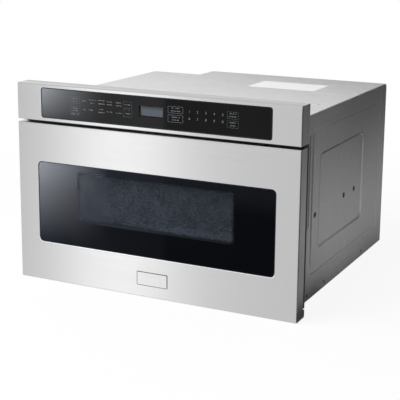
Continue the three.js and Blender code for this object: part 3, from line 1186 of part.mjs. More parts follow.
// Hub with tilted blades on a shaft that reaches up into its motor
function stirrerBlade() {
  const low = COVER_UNDER + COVER_STEEL + STIRRER_UNDER_GAP;
  const high = CAVITY_CEILING - STIRRER_OVER_GAP;
  const middle = (high + low) / 2;
  const at = [0, STIRRER_PLACE, 0];
  const shaft = rod(SHAFT_RADIUS, low, GUIDE_TOP + STIRRER_MOTOR_HEIGHT / 2);
  let rotor = turned(rod(STIRRER_HUB, low, high), 'z', at).add(turned(shaft, 'z', at, SMALL_STEPS));
  const steel = STIRRER_BLADE_STEEL;
  const half = STIRRER_BLADE_WIDTH / 2;
  const lean = (high - low) / 2 - steel;
  const reach = Math.sqrt(STIRRER_RADIUS ** 2 - half ** 2);
  for (let i = 0; i < STIRRER_BLADES; i += 1) {
    const turn = new THREE.Matrix4().makeRotationZ(i * 2 * Math.PI / STIRRER_BLADES);
    turn.setPosition(0, STIRRER_PLACE, middle);
    const ring = (radius, wide) => {
      const section = [[-wide, -lean - steel / 2], [wide, lean - steel / 2], [wide, lean + steel / 2],
        [-wide, steel / 2 - lean]];
      return section.map(([across, up]) => new THREE.Vector3(radius, across, up).applyMatrix4(turn));
    };
    rotor = rotor.add(loft([ring(STIRRER_HUB / 2, half / 2), ring(reach, half)]));
  }
  return rotor;
}

function stirrerMotor() {
  const base = GUIDE_TOP + FIT;
  const at = [0, STIRRER_PLACE, 0];
  const ear = STIRRER_MOTOR_RADIUS + STIRRER_EAR_REACH;
  const can = turned(rod(STIRRER_MOTOR_RADIUS, base, base + STIRRER_MOTOR_HEIGHT), 'z', at);
  const earDepth = [STIRRER_PLACE - STIRRER_EAR_WIDTH / 2, STIRRER_PLACE + STIRRER_EAR_WIDTH / 2];
  const ears = block([-ear, ear], earDepth, [base, base + GUIDE_WALL]);
  const boreTop = GUIDE_TOP + STIRRER_MOTOR_HEIGHT / 2 + SHAFT_PLAY;
  const bore = turned(rod(SHAFT_RADIUS + SHAFT_PLAY, base - OVERSHOOT, boreTop), 'z', at, SMALL_STEPS);
  return joined(can, ears).subtract(bore);
}

function ovenLamp() {
  const base = CAVITY_TOP + FIT;
  const top = base + LAMP_HEIGHT;
  const [flangeReach, flangeThickness] = LAMP_FLANGE;
  const [taperIn, taperDown] = LAMP_TAPER;
  const profile = [
    [0, base],
    [LAMP_RADIUS + flangeReach, base],
    [LAMP_RADIUS + flangeReach, base + flangeThickness],
    [LAMP_RADIUS, base + flangeThickness],
    [LAMP_RADIUS, top - taperDown],
    [LAMP_RADIUS - taperIn, top],
    [0, top],
  ];
  return turned(profile, 'z', [LAMP_X, LAMP_PLACE, 0]);
}

function thermalCutout() {
  const base = CAVITY_TOP + FIT;
  const [radius, height] = CUTOUT_BODY;
  const [capRadius, capHeight] = CUTOUT_CAP;
  const [earWidth, earDepth, earThickness] = CUTOUT_EARS;
  const at = [CUTOUT_X, CUTOUT_PLACE, 0];
  const body = turned(rod(radius, base, base + height), 'z', at, SMALL_STEPS);
  const cap = turned(rod(capRadius, base, base + height + capHeight), 'z', at, SMALL_STEPS);
  const ears = block([CUTOUT_X - earWidth / 2, CUTOUT_X + earWidth / 2],
    [CUTOUT_PLACE - earDepth / 2, CUTOUT_PLACE + earDepth / 2], [base, base + earThickness]);
  return joined(body, cap, ears);
}

// ---- Magnetron, power supply and fan ----

function magnetronYoke() {
  const half = YOKE_WIDTH / 2;
  const ys = [MAGNETRON_Y - YOKE_DEPTH / 2, MAGNETRON_Y + YOKE_DEPTH / 2];
  const body = block([-half, half], ys, [YOKE_BOTTOM, YOKE_TOP]);
  const hollow = block([-half - OVERSHOOT, half + OVERSHOOT], [ys[0] + YOKE_STEEL, ys[1] - YOKE_STEEL],
    [YOKE_BOTTOM + YOKE_STEEL, YOKE_TOP - YOKE_STEEL]);
  const hole = rod(ANTENNA_RADIUS + YOKE_STEEL, YOKE_TOP - YOKE_STEEL - OVERSHOOT, YOKE_TOP + OVERSHOOT);
  return body.subtract(hollow).subtract(turned(hole, 'z', [0, MAGNETRON_Y, 0]));
}

// Anode with its ring magnets, cooling fins and antenna
function magnetronTube() {
  const low = YOKE_BOTTOM + YOKE_STEEL + FIT;
  const high = YOKE_TOP - YOKE_STEEL - FIT;
  const antennaTop = YOKE_TOP + ANTENNA_HEIGHT;
  const profile = [
    [0, low],
    [MAGNET_RADIUS, low],
    [MAGNET_RADIUS, low + MAGNET_HEIGHT],
    [ANODE_RADIUS, low + MAGNET_HEIGHT],
    [ANODE_RADIUS, high - MAGNET_HEIGHT],
    [MAGNET_RADIUS, high - MAGNET_HEIGHT],
    [MAGNET_RADIUS, high],
    [ANTENNA_RADIUS, high],
    [ANTENNA_RADIUS, antennaTop - ANTENNA_BEVEL],
    [ANTENNA_RADIUS - ANTENNA_BEVEL, antennaTop],
    [0, antennaTop],
  ];
  let body = turned(profile, 'z', [0, MAGNETRON_Y, 0]);
  const first = low + MAGNET_HEIGHT;
  const pitch = (high - MAGNET_HEIGHT - first) / (FIN_COUNT + 1);
  const half = YOKE_WIDTH / 2 - YOKE_STEEL;
  const deep = YOKE_DEPTH / 2 - YOKE_STEEL - FIT;
  for (let i = 1; i <= FIN_COUNT; i += 1) {
    const z = first + i * pitch - FIN_THICKNESS / 2;
    body = body.add(block([-half, half], [MAGNETRON_Y - deep, MAGNETRON_Y + deep], [z, z + FIN_THICKNESS]));
  }
  return body;
}

function magnetronFilter() {
  const half = YOKE_WIDTH / 2 - 2 * YOKE_STEEL;
  const deep = YOKE_DEPTH / 2 - 2 * YOKE_STEEL;
  const top = YOKE_BOTTOM - FIT;
  const bottom = top - FILTER_HEIGHT;
  const box = block([-half, half], [MAGNETRON_Y - deep, MAGNETRON_Y + deep], [bottom, top]);
  const socket = block([half - SHEET, half + FILTER_SOCKET_REACH],
    [MAGNETRON_Y - FILTER_SOCKET_WIDTH / 2, MAGNETRON_Y + FILTER_SOCKET_WIDTH / 2],
    [bottom + FILTER_SOCKET_MARGIN, top - FILTER_SOCKET_MARGIN]);
  return joined(box, socket);
}

// Laminated core with two windows for the coils, on its welded foot
function transformerCore() {
  const half = CORE_WIDTH / 2;
  const deep = CORE_STACK / 2;
  const top = CORE_BASE + CORE_HEIGHT;
  let core = block([TRANSFORMER_X - half, TRANSFORMER_X + half], [TRANSFORMER_Y - deep, TRANSFORMER_Y + deep],
    [CORE_BASE - SHEET, top]);
  for (const side of [-1, 1]) {
    const xs = [TRANSFORMER_X + side * CORE_LEG, TRANSFORMER_X + side * (half - CORE_LEG)];
    core = core.subtract(block(xs, [0, TOTAL_DEPTH], [CORE_BASE + CORE_LEG, top - CORE_LEG]));
  }
  const footHalf = half + CORE_FOOT_SIDE;
  const footDeep = deep + CORE_FOOT_END;
  const foot = block([TRANSFORMER_X - footHalf, TRANSFORMER_X + footHalf],
    [TRANSFORMER_Y - footDeep, TRANSFORMER_Y + footDeep], [PAN_TOP + FIT, CORE_BASE]);
  return joined(core, foot);
}

// A winding round the core's middle leg; level 0 is the lower one
function transformerCoil(level) {
  const low = CORE_BASE + CORE_LEG + COIL_SPACE + level * (COIL_HIGH + COIL_SPACE);
  const reach = (grow) => [
    [TRANSFORMER_X - CORE_LEG - grow, TRANSFORMER_X + CORE_LEG + grow],
    [TRANSFORMER_Y - CORE_STACK / 2 - grow, TRANSFORMER_Y + CORE_STACK / 2 + grow],
  ];
  return prism(rounded(...reach(COIL_BUILD), COIL_BUILD), 'z', low, low + COIL_HIGH)
    .subtract(block(...reach(FIT), [low - OVERSHOOT, low + COIL_HIGH + OVERSHOOT]));
}

const canOutline = (grow) => rounded(
  [CAPACITOR_X - CAN_WIDTH / 2 - grow, CAPACITOR_X + CAN_WIDTH / 2 + grow],
  [CAPACITOR_Y - CAN_DEPTH / 2 - grow, CAPACITOR_Y + CAN_DEPTH / 2 + grow], CAN_DEPTH / 2 + grow);

function capacitor() {
  const low = PAN_TOP + FIT;
  const top = low + CAN_HEIGHT;
  let can = prism(canOutline(0), 'z', low, top);
  for (const side of [-1, 1]) {
    const x = CAPACITOR_X + side * TERMINAL_PLACE;
    can = can.add(block([x - TERMINAL_WIDTH / 2, x + TERMINAL_WIDTH / 2],
      [CAPACITOR_Y - TERMINAL_THICKNESS / 2, CAPACITOR_Y + TERMINAL_THICKNESS / 2],
      [top - SHEET, top + TERMINAL_HEIGHT]));
  }
  return can;
}

// A band round the can with a foot on the base pan
function capacitorStrap() {
  const low = PAN_TOP + FIT + STRAP_LEVEL;
  const band = prism(canOutline(FIT + STRAP_STEEL), 'z', low, low + STRAP_HEIGHT);
  const legX = CAPACITOR_X - CAN_WIDTH / 2 - FIT;
  const width = STRAP_HEIGHT / 2;
  const ys = [CAPACITOR_Y - width, CAPACITOR_Y + width];
  const leg = block([legX - STRAP_STEEL, legX], ys, [PAN_TOP + FIT, low + STRAP_HEIGHT]);
  const foot = block([legX - 2 * width, legX], ys, [PAN_TOP + FIT, PAN_TOP + FIT + STRAP_STEEL]);
  return joined(band, leg, foot).subtract(prism(canOutline(FIT), 'z', 0, CABINET_TOP));
}

// Square plate with the fan's ring and the three-armed spider that holds the motor
function fanShroud() {
  const half = SHROUD_SIZE / 2;
  const bore = FAN_RADIUS + FAN_TIP_GAP;
  const hole = rod(bore, SHROUD_BACK - 2 * SHROUD_WALL, SHROUD_BACK + OVERSHOOT);
  const plate = block([FAN_X - half, FAN_X + half], [SHROUD_BACK - SHROUD_WALL, SHROUD_BACK],
    [FAN_LEVEL - half, FAN_LEVEL + half]).subtract(turned(hole, 'y', FAN_AT, LARGE_STEPS));
  const ring = tube(bore, bore + SHROUD_WALL, SHROUD_BACK - SHROUD_DEPTH, SHROUD_BACK);
  const boss = tube(SHAFT_RADIUS + SHAFT_PLAY, FAN_MOTOR_BOSS, SPIDER_FRONT, SPIDER_BACK);
  let shroud = joined(plate, turned(ring, 'y', FAN_AT, LARGE_STEPS), turned(boss, 'y', FAN_AT));
  const armEnd = bore + SHROUD_WALL / 2;
  const armStart = FAN_MOTOR_BOSS - SPIDER_ARM_WIDTH / 2;
  for (let i = 0; i < SPIDER_ARMS; i += 1) {
    const geometry = new THREE.BoxGeometry(armEnd - armStart, SHROUD_WALL, SPIDER_ARM_WIDTH);
    geometry.translate((armEnd + armStart) / 2, (SPIDER_FRONT + SPIDER_BACK) / 2, 0);
    geometry.rotateY(-Math.PI / 2 - i * 2 * Math.PI / SPIDER_ARMS);
    geometry.translate(...FAN_AT);
    shroud = shroud.add(solidOf(geometry));
  }
  return shroud;
}

// Twisted blades round a hub, on the shaft that runs into the motor
function coolingFan() {
  const hub = [
    [0, FAN_FRONT],
    [FAN_HUB, FAN_FRONT],
    [FAN_HUB, FAN_BACK - FAN_HUB_BEVEL],
    [FAN_HUB - FAN_HUB_BEVEL, FAN_BACK],
    [0, FAN_BACK],
  ];
  const shaft = rod(SHAFT_RADIUS, FAN_MOTOR_BACK - FAN_MOTOR_STACK / 2, FAN_FRONT + SHAFT_RADIUS);
  let fan = turned(hub, 'y', FAN_AT, 3 * FAN_BLADES).add(turned(shaft, 'y', FAN_AT, SMALL_STEPS));
  const thick = BLADE_THICKNESS / 2;
  const { lerp } = THREE.MathUtils;
  const section = (share) => {
    const radius = lerp(FAN_HUB - FAN_HUB_BEVEL, FAN_RADIUS, share);
    const tilt = lerp(BLADE_ROOT_TILT, BLADE_TIP_TILT, share);
    const half = Math.min(lerp(BLADE_ROOT_CHORD, BLADE_TIP_CHORD, share) / 2,
      (FAN_DEPTH / 2 - thick) / Math.sin(tilt));
    const corners = [[-half, -thick], [half, -thick], [half, thick], [-half, thick]];
    return corners.map(([along, up]) => new THREE.Vector3(radius,
      along * Math.sin(tilt) + up * Math.cos(tilt), up * Math.sin(tilt) - along * Math.cos(tilt)));
  };
  for (let i = 0; i < FAN_BLADES; i += 1) {
    const turn = new THREE.Matrix4().makeRotationY(i * 2 * Math.PI / FAN_BLADES);
    turn.setPosition(FAN_X, (FAN_FRONT + FAN_BACK) / 2, FAN_LEVEL);
    const rings = [0, 0.5, 1].map((share) => section(share).map((point) => point.applyMatrix4(turn)));
    fan = fan.add(loft(rings));
  }
  return fan;
}

// Shaded-pole motor: a square stack with a coil below and bearing caps
function fanMotor() {
  const half = FAN_MOTOR_SIZE / 2;
  const back = FAN_MOTOR_BACK - FAN_MOTOR_CAP;
  const front = back - FAN_MOTOR_STACK;
  const stack = block([FAN_X - half, FAN_X + half], [front, back], [FAN_LEVEL - half, FAN_LEVEL + half]);
  const caps = turned(rod(FAN_MOTOR_BOSS, front - FAN_MOTOR_CAP, FAN_MOTOR_BACK), 'y', FAN_AT);
  const coilBottom = FAN_LEVEL - half - FAN_COIL_DROP;
  const coil = block([FAN_X - FAN_COIL_WIDTH / 2, FAN_X + FAN_COIL_WIDTH / 2],
    [front - FAN_COIL_FRONT, back + FAN_COIL_BACK], [coilBottom, coilBottom + FAN_COIL_HEIGHT]);
  const boreEnd = FAN_MOTOR_BACK - FAN_MOTOR_STACK / 2 - SHAFT_PLAY;
  const bore = rod(SHAFT_RADIUS + SHAFT_PLAY, boreEnd, FAN_MOTOR_BACK + OVERSHOOT);
  return joined(stack, caps, coil).subtract(turned(bore, 'y', FAN_AT, SMALL_STEPS));
}

// Mains filter: a board on four standoffs, with a choke coil, a capacitor and a fuse
function filterBoard() {
  const low = PAN_TOP + FIT + STANDOFF_HEIGHT;
  const top = low + BOARD_THICKNESS;
  const half = FILTER_BOARD_WIDTH / 2;
  const deep = FILTER_BOARD_DEPTH / 2;
  const area = (x, y, wide, long) => [[x - wide, x + wide], [y - long, y + long]];
  let board = block(...area(FILTER_BOARD_X, FILTER_BOARD_Y, half, deep), [low, top]);
  for (const side of [-1, 1]) {
    for (const end of [-1, 1]) {
      const x = FILTER_BOARD_X + side * (half - STANDOFF_MARGIN);
      const y = FILTER_BOARD_Y + end * (deep - STANDOFF_MARGIN);
      const standoff = rod(STANDOFF_RADIUS, PAN_TOP + FIT, low + BOARD_THICKNESS / 2);
      board = board.add(turned(standoff, 'z', [x, y, 0], SMALL_STEPS));
    }
  }
  for (const [x, y, width, depth, height] of FILTER_BOARD_PARTS) {
    const place = area(FILTER_BOARD_X + x, FILTER_BOARD_Y + y, width / 2, depth / 2);
    board = board.add(block(...place, [low, top + height]));
  }
  const coil = tube(CHOKE_COIL_BORE, CHOKE_COIL_RADIUS, low + BOARD_THICKNESS / 2, top + CHOKE_COIL_HEIGHT);
  return board.add(turned(coil, 'z', [FILTER_BOARD_X + CHOKE_COIL_PLACE, FILTER_BOARD_Y, 0]));
}

// ---- The pieces ----

piece('outer_wrap', outerWrap(), GALVANISED);
piece('base_pan', basePan(), GALVANISED);
piece('back_panel', backPanel(), GALVANISED);
piece('cord_gland', cordGland(), BLACK_PLASTIC);
piece('mounting_frame', mountingFrame(), GALVANISED);
piece('control_fascia', controlFascia(), STAINLESS);
piece('control_glass', prism(controlOutline(0), 'y', GLASS_FRONT, GLASS_BACK), BLACK_GLASS);
piece('control_housing', controlHousing(), BLACK_PLASTIC);
piece('display_module', displayModule(), DISPLAY_GREY);
piece('control_board', controlBoard(), BOARD_GREEN);
piece('oven_cavity', ovenCavity(), CAVITY_STEEL);
pair('cavity_rail', cavityRail(), GALVANISED);
piece('waveguide', waveguide(), CAVITY_STEEL);
piece('stirrer_cover', stirrerCover(), MICA);
piece('stirrer_blade', stirrerBlade(), ALUMINIUM);
piece('stirrer_motor', stirrerMotor(), ZINC_STEEL);
piece('oven_lamp', ovenLamp(), WHITE_PLASTIC);
piece('thermal_cutout', thermalCutout(), BLACK_PLASTIC);
piece('magnetron_yoke', magnetronYoke(), ZINC_STEEL);
piece('magnetron_tube', magnetronTube(), ALUMINIUM);
piece('magnetron_filter_box', magnetronFilter(), ZINC_STEEL);
piece('transformer_core', transformerCore(), LAMINATION);
piece('transformer_primary_coil', transformerCoil(0), COPPER);
piece('transformer_secondary_coil', transformerCoil(1), COPPER);
piece('capacitor', capacitor(), ALUMINIUM);
piece('capacitor_strap', capacitorStrap(), ZINC_STEEL);
piece('fan_shroud', fanShroud(), BLACK_PLASTIC);
piece('cooling_fan', coolingFan(), BLACK_PLASTIC);
piece('fan_motor', fanMotor(), LAMINATION);
piece('filter_board', filterBoard(), BOARD_GREEN);
pair('slide_outer', slideOuter(), ZINC_STEEL);
pair('slide_middle', slideMiddle(), ZINC_STEEL);
pair('slide_inner', slideInner(), ZINC_STEEL);
piece('right_slide_arm', slideArm(RACK_END - CHOKE_PLATE_BACK), ZINC_STEEL);
piece('left_slide_arm', mirrored(slideArm(LEFT_ARM_LENGTH)), ZINC_STEEL);
piece('drive_rack', driveRack(), NYLON);
piece('drive_pinion', drivePinion(), NYLON);
piece('drive_motor', driveMotor(), ZINC_STEEL);
piece('drive_bracket', driveBracket(), GALVANISED);
pair('interlock_tongue', interlockTongue(), NYLON);
pair('interlock_switches', interlockSwitches(), WHITE_PLASTIC);
piece('drawer_front', drawerFront(), STAINLESS);
piece('window_glass', prism(windowOutline(0), 'y', GLASS_FRONT, GLASS_BACK), BLACK_GLASS);
piece('door_frame', doorFrame(), BLACK_PLASTIC);
piece('window_screen', windowScreen(), SCREEN_METAL);
piece('choke_pan', chokePan(), CAVITY_STEEL);
piece('choke_cover', chokeCover(), BLACK_PLASTIC);
piece('drawer_bowl', drawerBowl(), CAVITY_STEEL);
piece('inner_window', innerWindow(), CLEAR_GLASS);
piece('glass_tray', glassTray(), CERAMIC_GLASS);

drawer.position.y = -TOTAL_DEPTH / 2;

export default drawer;
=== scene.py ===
"""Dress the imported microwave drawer: its finishes, fine trim, fasteners, lights and camera.

Sizes are millimetres in the code, x across, y back from the front face and z up from the feet,
and become metres in the part's own frame when a mesh is made. The studio's own places are
metres in that frame.
"""

import logging
import math
from collections.abc import Iterable, Sequence
from dataclasses import dataclass, replace
from enum import Enum
from functools import lru_cache
from random import Random

import bmesh
import bpy
from mathutils import Matrix, Vector


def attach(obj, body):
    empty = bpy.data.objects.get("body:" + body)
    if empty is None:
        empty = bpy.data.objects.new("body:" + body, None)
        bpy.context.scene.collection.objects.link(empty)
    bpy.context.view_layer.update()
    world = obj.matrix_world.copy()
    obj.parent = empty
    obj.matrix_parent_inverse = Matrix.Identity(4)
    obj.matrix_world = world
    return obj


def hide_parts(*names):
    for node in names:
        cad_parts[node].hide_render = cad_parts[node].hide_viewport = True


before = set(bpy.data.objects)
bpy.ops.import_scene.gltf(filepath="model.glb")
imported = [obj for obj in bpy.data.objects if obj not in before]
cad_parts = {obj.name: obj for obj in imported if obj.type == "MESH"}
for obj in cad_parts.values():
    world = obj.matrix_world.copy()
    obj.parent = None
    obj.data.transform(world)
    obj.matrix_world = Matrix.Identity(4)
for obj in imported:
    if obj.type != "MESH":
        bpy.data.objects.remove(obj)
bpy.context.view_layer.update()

LOG = logging.getLogger("microwave_drawer")
MM = 0.001
FRONT_Y = -297.0  # the front face in the part's frame
DUST = (0.42, 0.41, 0.39)
MARK_ROUGHNESS = 0.35  # how much rougher a full handling mark is
MASK_RANGE = (0.3, 0.7)  # the part of a pattern's mask that changes the roughness
BEAD_SIDES = 8

Node = bpy.types.Node
Tree = bpy.types.NodeTree
Socket = bpy.types.NodeSocket
Sockets = bpy.types.NodeOutputs
Mesh = bpy.types.Mesh
Point = tuple[float, float, float]
Flat = tuple[float, float]
Colour = tuple[float, float, float]
Ramp = tuple[float, float, float, float]  # where a value starts and ends to change, and both values
Settings = tuple[tuple[str, object], ...]


class Body(str, Enum):
    """The moving bodies that a piece can ride on."""

    CABINET = "cabinet"
    DRAWER = "drawer"


class Slot(str, Enum):
    """Names of the record's material slots, passed with each new piece."""

    BLACK_GLASS = "black_glass"
    BLACK_PLASTIC = "black_plastic"
    SCREEN_METAL = "screen_metal"
    STAINLESS_SKIN = "stainless_skin"
    WHITE_PLASTIC = "white_plastic"
    ZINC_STEEL = "zinc_steel"


class Pattern(Enum):
    """The fine structure that a finish shows."""

    BRUSHED = "brushed"
    SPANGLED = "spangled"
    MOULDED = "moulded"
    WOUND = "wound"
    LAYERED = "layered"


class Axis(Enum):
    """The direction that a form or a glow runs in."""

    X = 0
    Y = 1
    Z = 2


# ---- Node trees ----
class Bench:
    """A node tree with short calls that add nodes and join them."""

    def __init__(self, tree: Tree) -> None:
        """Keep the tree that the nodes go into."""
        self.tree = tree

    def add(self, kind: str, ins: dict | None = None, **settings: object) -> Node:
        """Add one node.

        Args:
            kind: The node's type name.
            ins: Input name or number to a value, or to the socket that feeds it.
            settings: Plain settings of the node.

        Returns:
            The new node.
        """
        node = self.tree.nodes.new(kind)
        for key, value in settings.items():
            setattr(node, key, value)
        self.feed(node, ins or {})
        return node

    def feed(self, node: Node, ins: dict) -> Tree:
        """Set inputs of a node.

        Args:
            node: The node.
            ins: Input name or number to a value, or to the socket that feeds it.

        Returns:
            The tree that the node is in.
        """
        for key, value in ins.items():
            if isinstance(value, Socket):
                self.tree.links.new(value, node.inputs[key])
            else:
                node.inputs[key].default_value = value
        return self.tree

    def maths(self, operation: str, *values: object) -> Socket:
        """Return the result of one Math node on plain numbers or sockets."""
        return self.add("ShaderNodeMath", dict(enumerate(values)), operation=operation).outputs[0]

    def times(self, first: object, *others: object) -> Socket:
        """Multiply values.

        Args:
            first: The first value.
            others: One more value, or several.

        Returns:
            Their product.
        """
        for other in others:
            first = self.maths("MULTIPLY", first, other)
        return first

    def most(self, first: object, second: object) -> Socket:
        """Return the higher of two values."""
        return self.maths("MAXIMUM", first, second)

    def weighed(self, first: object, share: object, second: object, rest: object) -> Socket:
        """Return the sum of two values, each times its own share."""
        return self.maths("ADD", self.times(first, share), self.times(second, rest))

    def span(self, value: object, low: float, high: float, to_low: float, to_high: float) -> Socket:
        """Return a value moved from one range to another and kept inside it."""
        ins = {"Value": value, "From Min": low, "From Max": high, "To Min": to_low, "To Max": to_high}
        return self.add("ShaderNodeMapRange", ins).outputs[0]

    def blend(self, factor: object, first: object, second: object) -> Socket:
        """Return two colours mixed by a factor."""
        ins = {0: factor, 6: paint(first), 7: paint(second)}
        return self.add("ShaderNodeMix", ins, data_type="RGBA").outputs[2]

    def place(self) -> Socket:
        """Return the point on the object, in metres."""
        return self.add("ShaderNodeTexCoord").outputs["Object"]

    def vector(self, operation: str, *values: object) -> Node:
        """Return one Vector Math node on plain vectors or sockets."""
        return self.add("ShaderNodeVectorMath", dict(enumerate(values)), operation=operation)

    def split(self, vector: Socket) -> Sockets:
        """Return the three parts of a vector."""
        return self.add("ShaderNodeSeparateXYZ", {0: vector}).outputs

    def noise(self, point: object, scale: object, detail: float, roughness: float = 0.5) -> Socket:
        """Return a soft random value that changes over the points."""
        ins = {"Vector": point, "Scale": scale, "Detail": detail, "Roughness": roughness}
        return self.add("ShaderNodeTexNoise", ins).outputs[0]

    def seen(self) -> Socket:
        """Return 1 to the camera, to metal and to glass, and 0 to what lights a surface."""
        rays = self.add("ShaderNodeLightPath").outputs
        return self.most(rays["Is Camera Ray"],
                         self.most(rays["Is Glossy Ray"], rays["Is Transmission Ray"]))


def paint(value: object) -> object:
    """Return a plain colour with its fourth part, or the socket as it is."""
    return value if isinstance(value, Socket) else (*value, 1.0)


def effect(name: str, inputs: dict[str, object], outputs: Sequence[str] = ("Mask", "Height")
           ) -> tuple[Bench, Sockets, Node]:
    """Start a shader node group with named sockets.

    Args:
        name: The group's name.
        inputs: Input names and their standing values, a number or a vector.
        outputs: Names of the values that it puts out.

    Returns:
        The group's bench, the sockets of its inputs, and its output node.
    """
    tree = bpy.data.node_groups.new(name, "ShaderNodeTree")
    for key, value in inputs.items():
        kind = "NodeSocketVector" if isinstance(value, tuple) else "NodeSocketFloat"
        socket = tree.interface.new_socket(key, in_out="INPUT", socket_type=kind)
        socket.default_value = value
    for key in outputs:
        tree.interface.new_socket(key, in_out="OUTPUT", socket_type="NodeSocketFloat")
    bench = Bench(tree)
    return bench, bench.add("NodeGroupInput").outputs, bench.add("NodeGroupOutput")


@lru_cache(maxsize=None)
def brushing() -> Tree:
    """Build the group of drawn-out scratches that run along one axis.

    Returns:
        The shader node group.
    """
    bench, take, give = effect("brushing", {"Stretch": (4.0, 900.0, 900.0)})
    drawn = bench.vector("MULTIPLY", bench.place(), take["Stretch"]).outputs[0]
    fine = bench.noise(drawn, scale=1.0, detail=5.0, roughness=0.65)
    broad = bench.noise(drawn, scale=0.12, detail=2.0)
    return bench.feed(give, {"Mask": bench.weighed(fine, 0.7, broad, 0.3), "Height": fine})


@lru_cache(maxsize=None)
def spangling() -> Tree:
    """Build the group of zinc crystals, each a little lighter or darker than the next.

    Returns:
        The shader node group.
    """
    bench, take, give = effect("spangling", {"Cells": 90.0, "Drift": 3.0})
    cells = bench.add("ShaderNodeTexVoronoi", {"Vector": bench.place(), "Scale": take["Cells"]})
    clouds = bench.noise(bench.place(), scale=take["Drift"], detail=4.0)
    tone = bench.split(cells.outputs["Color"])[0]
    return bench.feed(give, {"Mask": bench.weighed(tone, 0.45, clouds, 0.55),
                             "Height": cells.outputs["Distance"]})


@lru_cache(maxsize=None)
def moulding() -> Tree:
    """Build the group of a fine moulded or painted skin.

    Returns:
        The shader node group.
    """
    bench, take, give = effect("moulding", {"Grain": 900.0, "Drift": 14.0})
    fine = bench.noise(bench.place(), scale=take["Grain"], detail=3.0)
    drift = bench.noise(bench.place(), scale=take["Drift"], detail=4.0)
    return bench.feed(give, {"Mask": bench.weighed(fine, 0.4, drift, 0.6), "Height": fine})


@lru_cache(maxsize=None)
def banding() -> Tree:
    """Build the group of even bands, such as stacked plates or wound turns.

    Returns:
        The shader node group.
    """
    bench, take, give = effect("banding", {"Stretch": (0.0, 0.0, 1000.0), "Waver": 1.8})
    along = bench.vector("DOT_PRODUCT", bench.place(), take["Stretch"]).outputs["Value"]
    noise = bench.noise(bench.place(), scale=160.0, detail=3.0)
    wave = bench.maths("SINE", bench.maths("ADD", along, bench.times(noise, take["Waver"])))
    height = bench.maths("MULTIPLY_ADD", wave, 0.5, 0.5)
    return bench.feed(give, {"Mask": bench.weighed(height, 0.7, noise, 0.3), "Height": height})


@lru_cache(maxsize=None)
def settling() -> Tree:
    """Build the group of faint dust and handling marks, heavier on what faces up.

    Returns:
        The shader node group.
    """
    bench, take, give = effect("settling", {"Scale": 22.0, "Amount": 0.2}, ("Dust", "Marks"))
    noise = bench.noise(bench.place(), scale=take["Scale"], detail=6.0, roughness=0.62)
    marks = bench.times(bench.span(noise, 0.42, 0.68, 0.0, 1.0), take["Amount"])
    up = bench.split(bench.add("ShaderNodeNewGeometry").outputs["Normal"])[2]
    facing = bench.span(up, -0.2, 1.0, 0.25, 1.0)
    return bench.feed(give, {"Dust": bench.times(marks, facing), "Marks": marks})


# ---- Finishes ----
PATTERN_GROUPS = {
    Pattern.BRUSHED: brushing, Pattern.SPANGLED: spangling, Pattern.MOULDED: moulding,
    Pattern.WOUND: banding, Pattern.LAYERED: banding,
}


@dataclass(frozen=True)
class Finish:
    """One finish: two close colours mixed by a fine pattern, with dust and bump."""

    name: str
    colour: Colour
    shade: Colour
    roughness: float = 0.5
    spread: float = 0.08
    metallic: float = 0.0
    pattern: Pattern = Pattern.MOULDED
    settings: Settings = ()
    bump: float = 0.1
    depth: float = 0.0001
    dust: float = 0.1
    anisotropic: float = 0.0
    turn: float = 0.0
    coat: float = 0.0
    specular: float = 0.5

    def tint(self, bench: Bench, colour: Socket) -> Socket:
        """Return the colour as it is; a finish with areas of its own changes it here."""
        return colour

    def dress(self, bench: Bench, shader: Node) -> None:
        """Set what only one kind of finish has; nothing on a plain one."""

    @lru_cache(maxsize=None)
    def material(self) -> bpy.types.Material:
        """Build the material once.

        Returns:
            The node-based material of this finish.
        """
        material = bpy.data.materials.new(self.name)
        material.use_nodes = True
        material.diffuse_color = (*self.colour, 1.0)
        bench = Bench(material.node_tree)
        shader = material.node_tree.nodes["Principled BSDF"]
        pattern = bench.add("ShaderNodeGroup", dict(self.settings),
                            node_tree=PATTERN_GROUPS[self.pattern]()).outputs
        settle = bench.add("ShaderNodeGroup", {"Amount": self.dust}, node_tree=settling()).outputs
        tinted = self.tint(bench, bench.blend(pattern["Mask"], self.shade, self.colour))
        rough = bench.span(pattern["Mask"], *MASK_RANGE, self.roughness - self.spread,
                           self.roughness + self.spread)
        bump = bench.add("ShaderNodeBump", {"Strength": self.bump, "Distance": self.depth,
                                            "Height": pattern["Height"]})
        bench.feed(shader, {
            "Base Color": bench.blend(settle["Dust"], tinted, DUST),
            "Roughness": bench.maths("MULTIPLY_ADD", settle["Marks"], MARK_ROUGHNESS, rough),
            "Normal": bump.outputs["Normal"], "Metallic": self.metallic,
            "Anisotropic": self.anisotropic, "Anisotropic Rotation": self.turn,
            "Coat Weight": self.coat, "Specular IOR Level": self.specular})
        self.dress(bench, shader)
        return material


@dataclass(frozen=True)
class SeeThrough(Finish):
    """A printed glass: opaque in its dark border and thin in its clear field, in millimetres."""

    field_low: Flat = (0.0, 0.0)
    field_high: Flat = (0.0, 0.0)
    fade: float = 1.5
    cover: float = 0.4

    def field_mask(self, bench: Bench) -> Socket:
        """Make a mask of the clear field, with a soft edge.

        Args:
            bench: The material's bench.

        Returns:
            1 over the clear field and 0 over the border.
        """
        across, _, height = bench.split(bench.place())
        masks = []
        for value, low, high in zip((across, height), self.field_low, self.field_high):
            middle, half = (low + high) / 2 * MM, (high - low) / 2
            away = bench.maths("ABSOLUTE", bench.maths("SUBTRACT", value, middle))
            masks.append(bench.span(away, (half - self.fade) * MM, (half + self.fade) * MM, 1.0, 0.0))
        return bench.times(*masks)

    def dress(self, bench: Bench, shader: Node) -> None:
        """Thin the glass out over its clear field."""
        bench.feed(shader, {"Alpha": bench.span(self.field_mask(bench), 0.0, 1.0, 1.0, self.cover)})


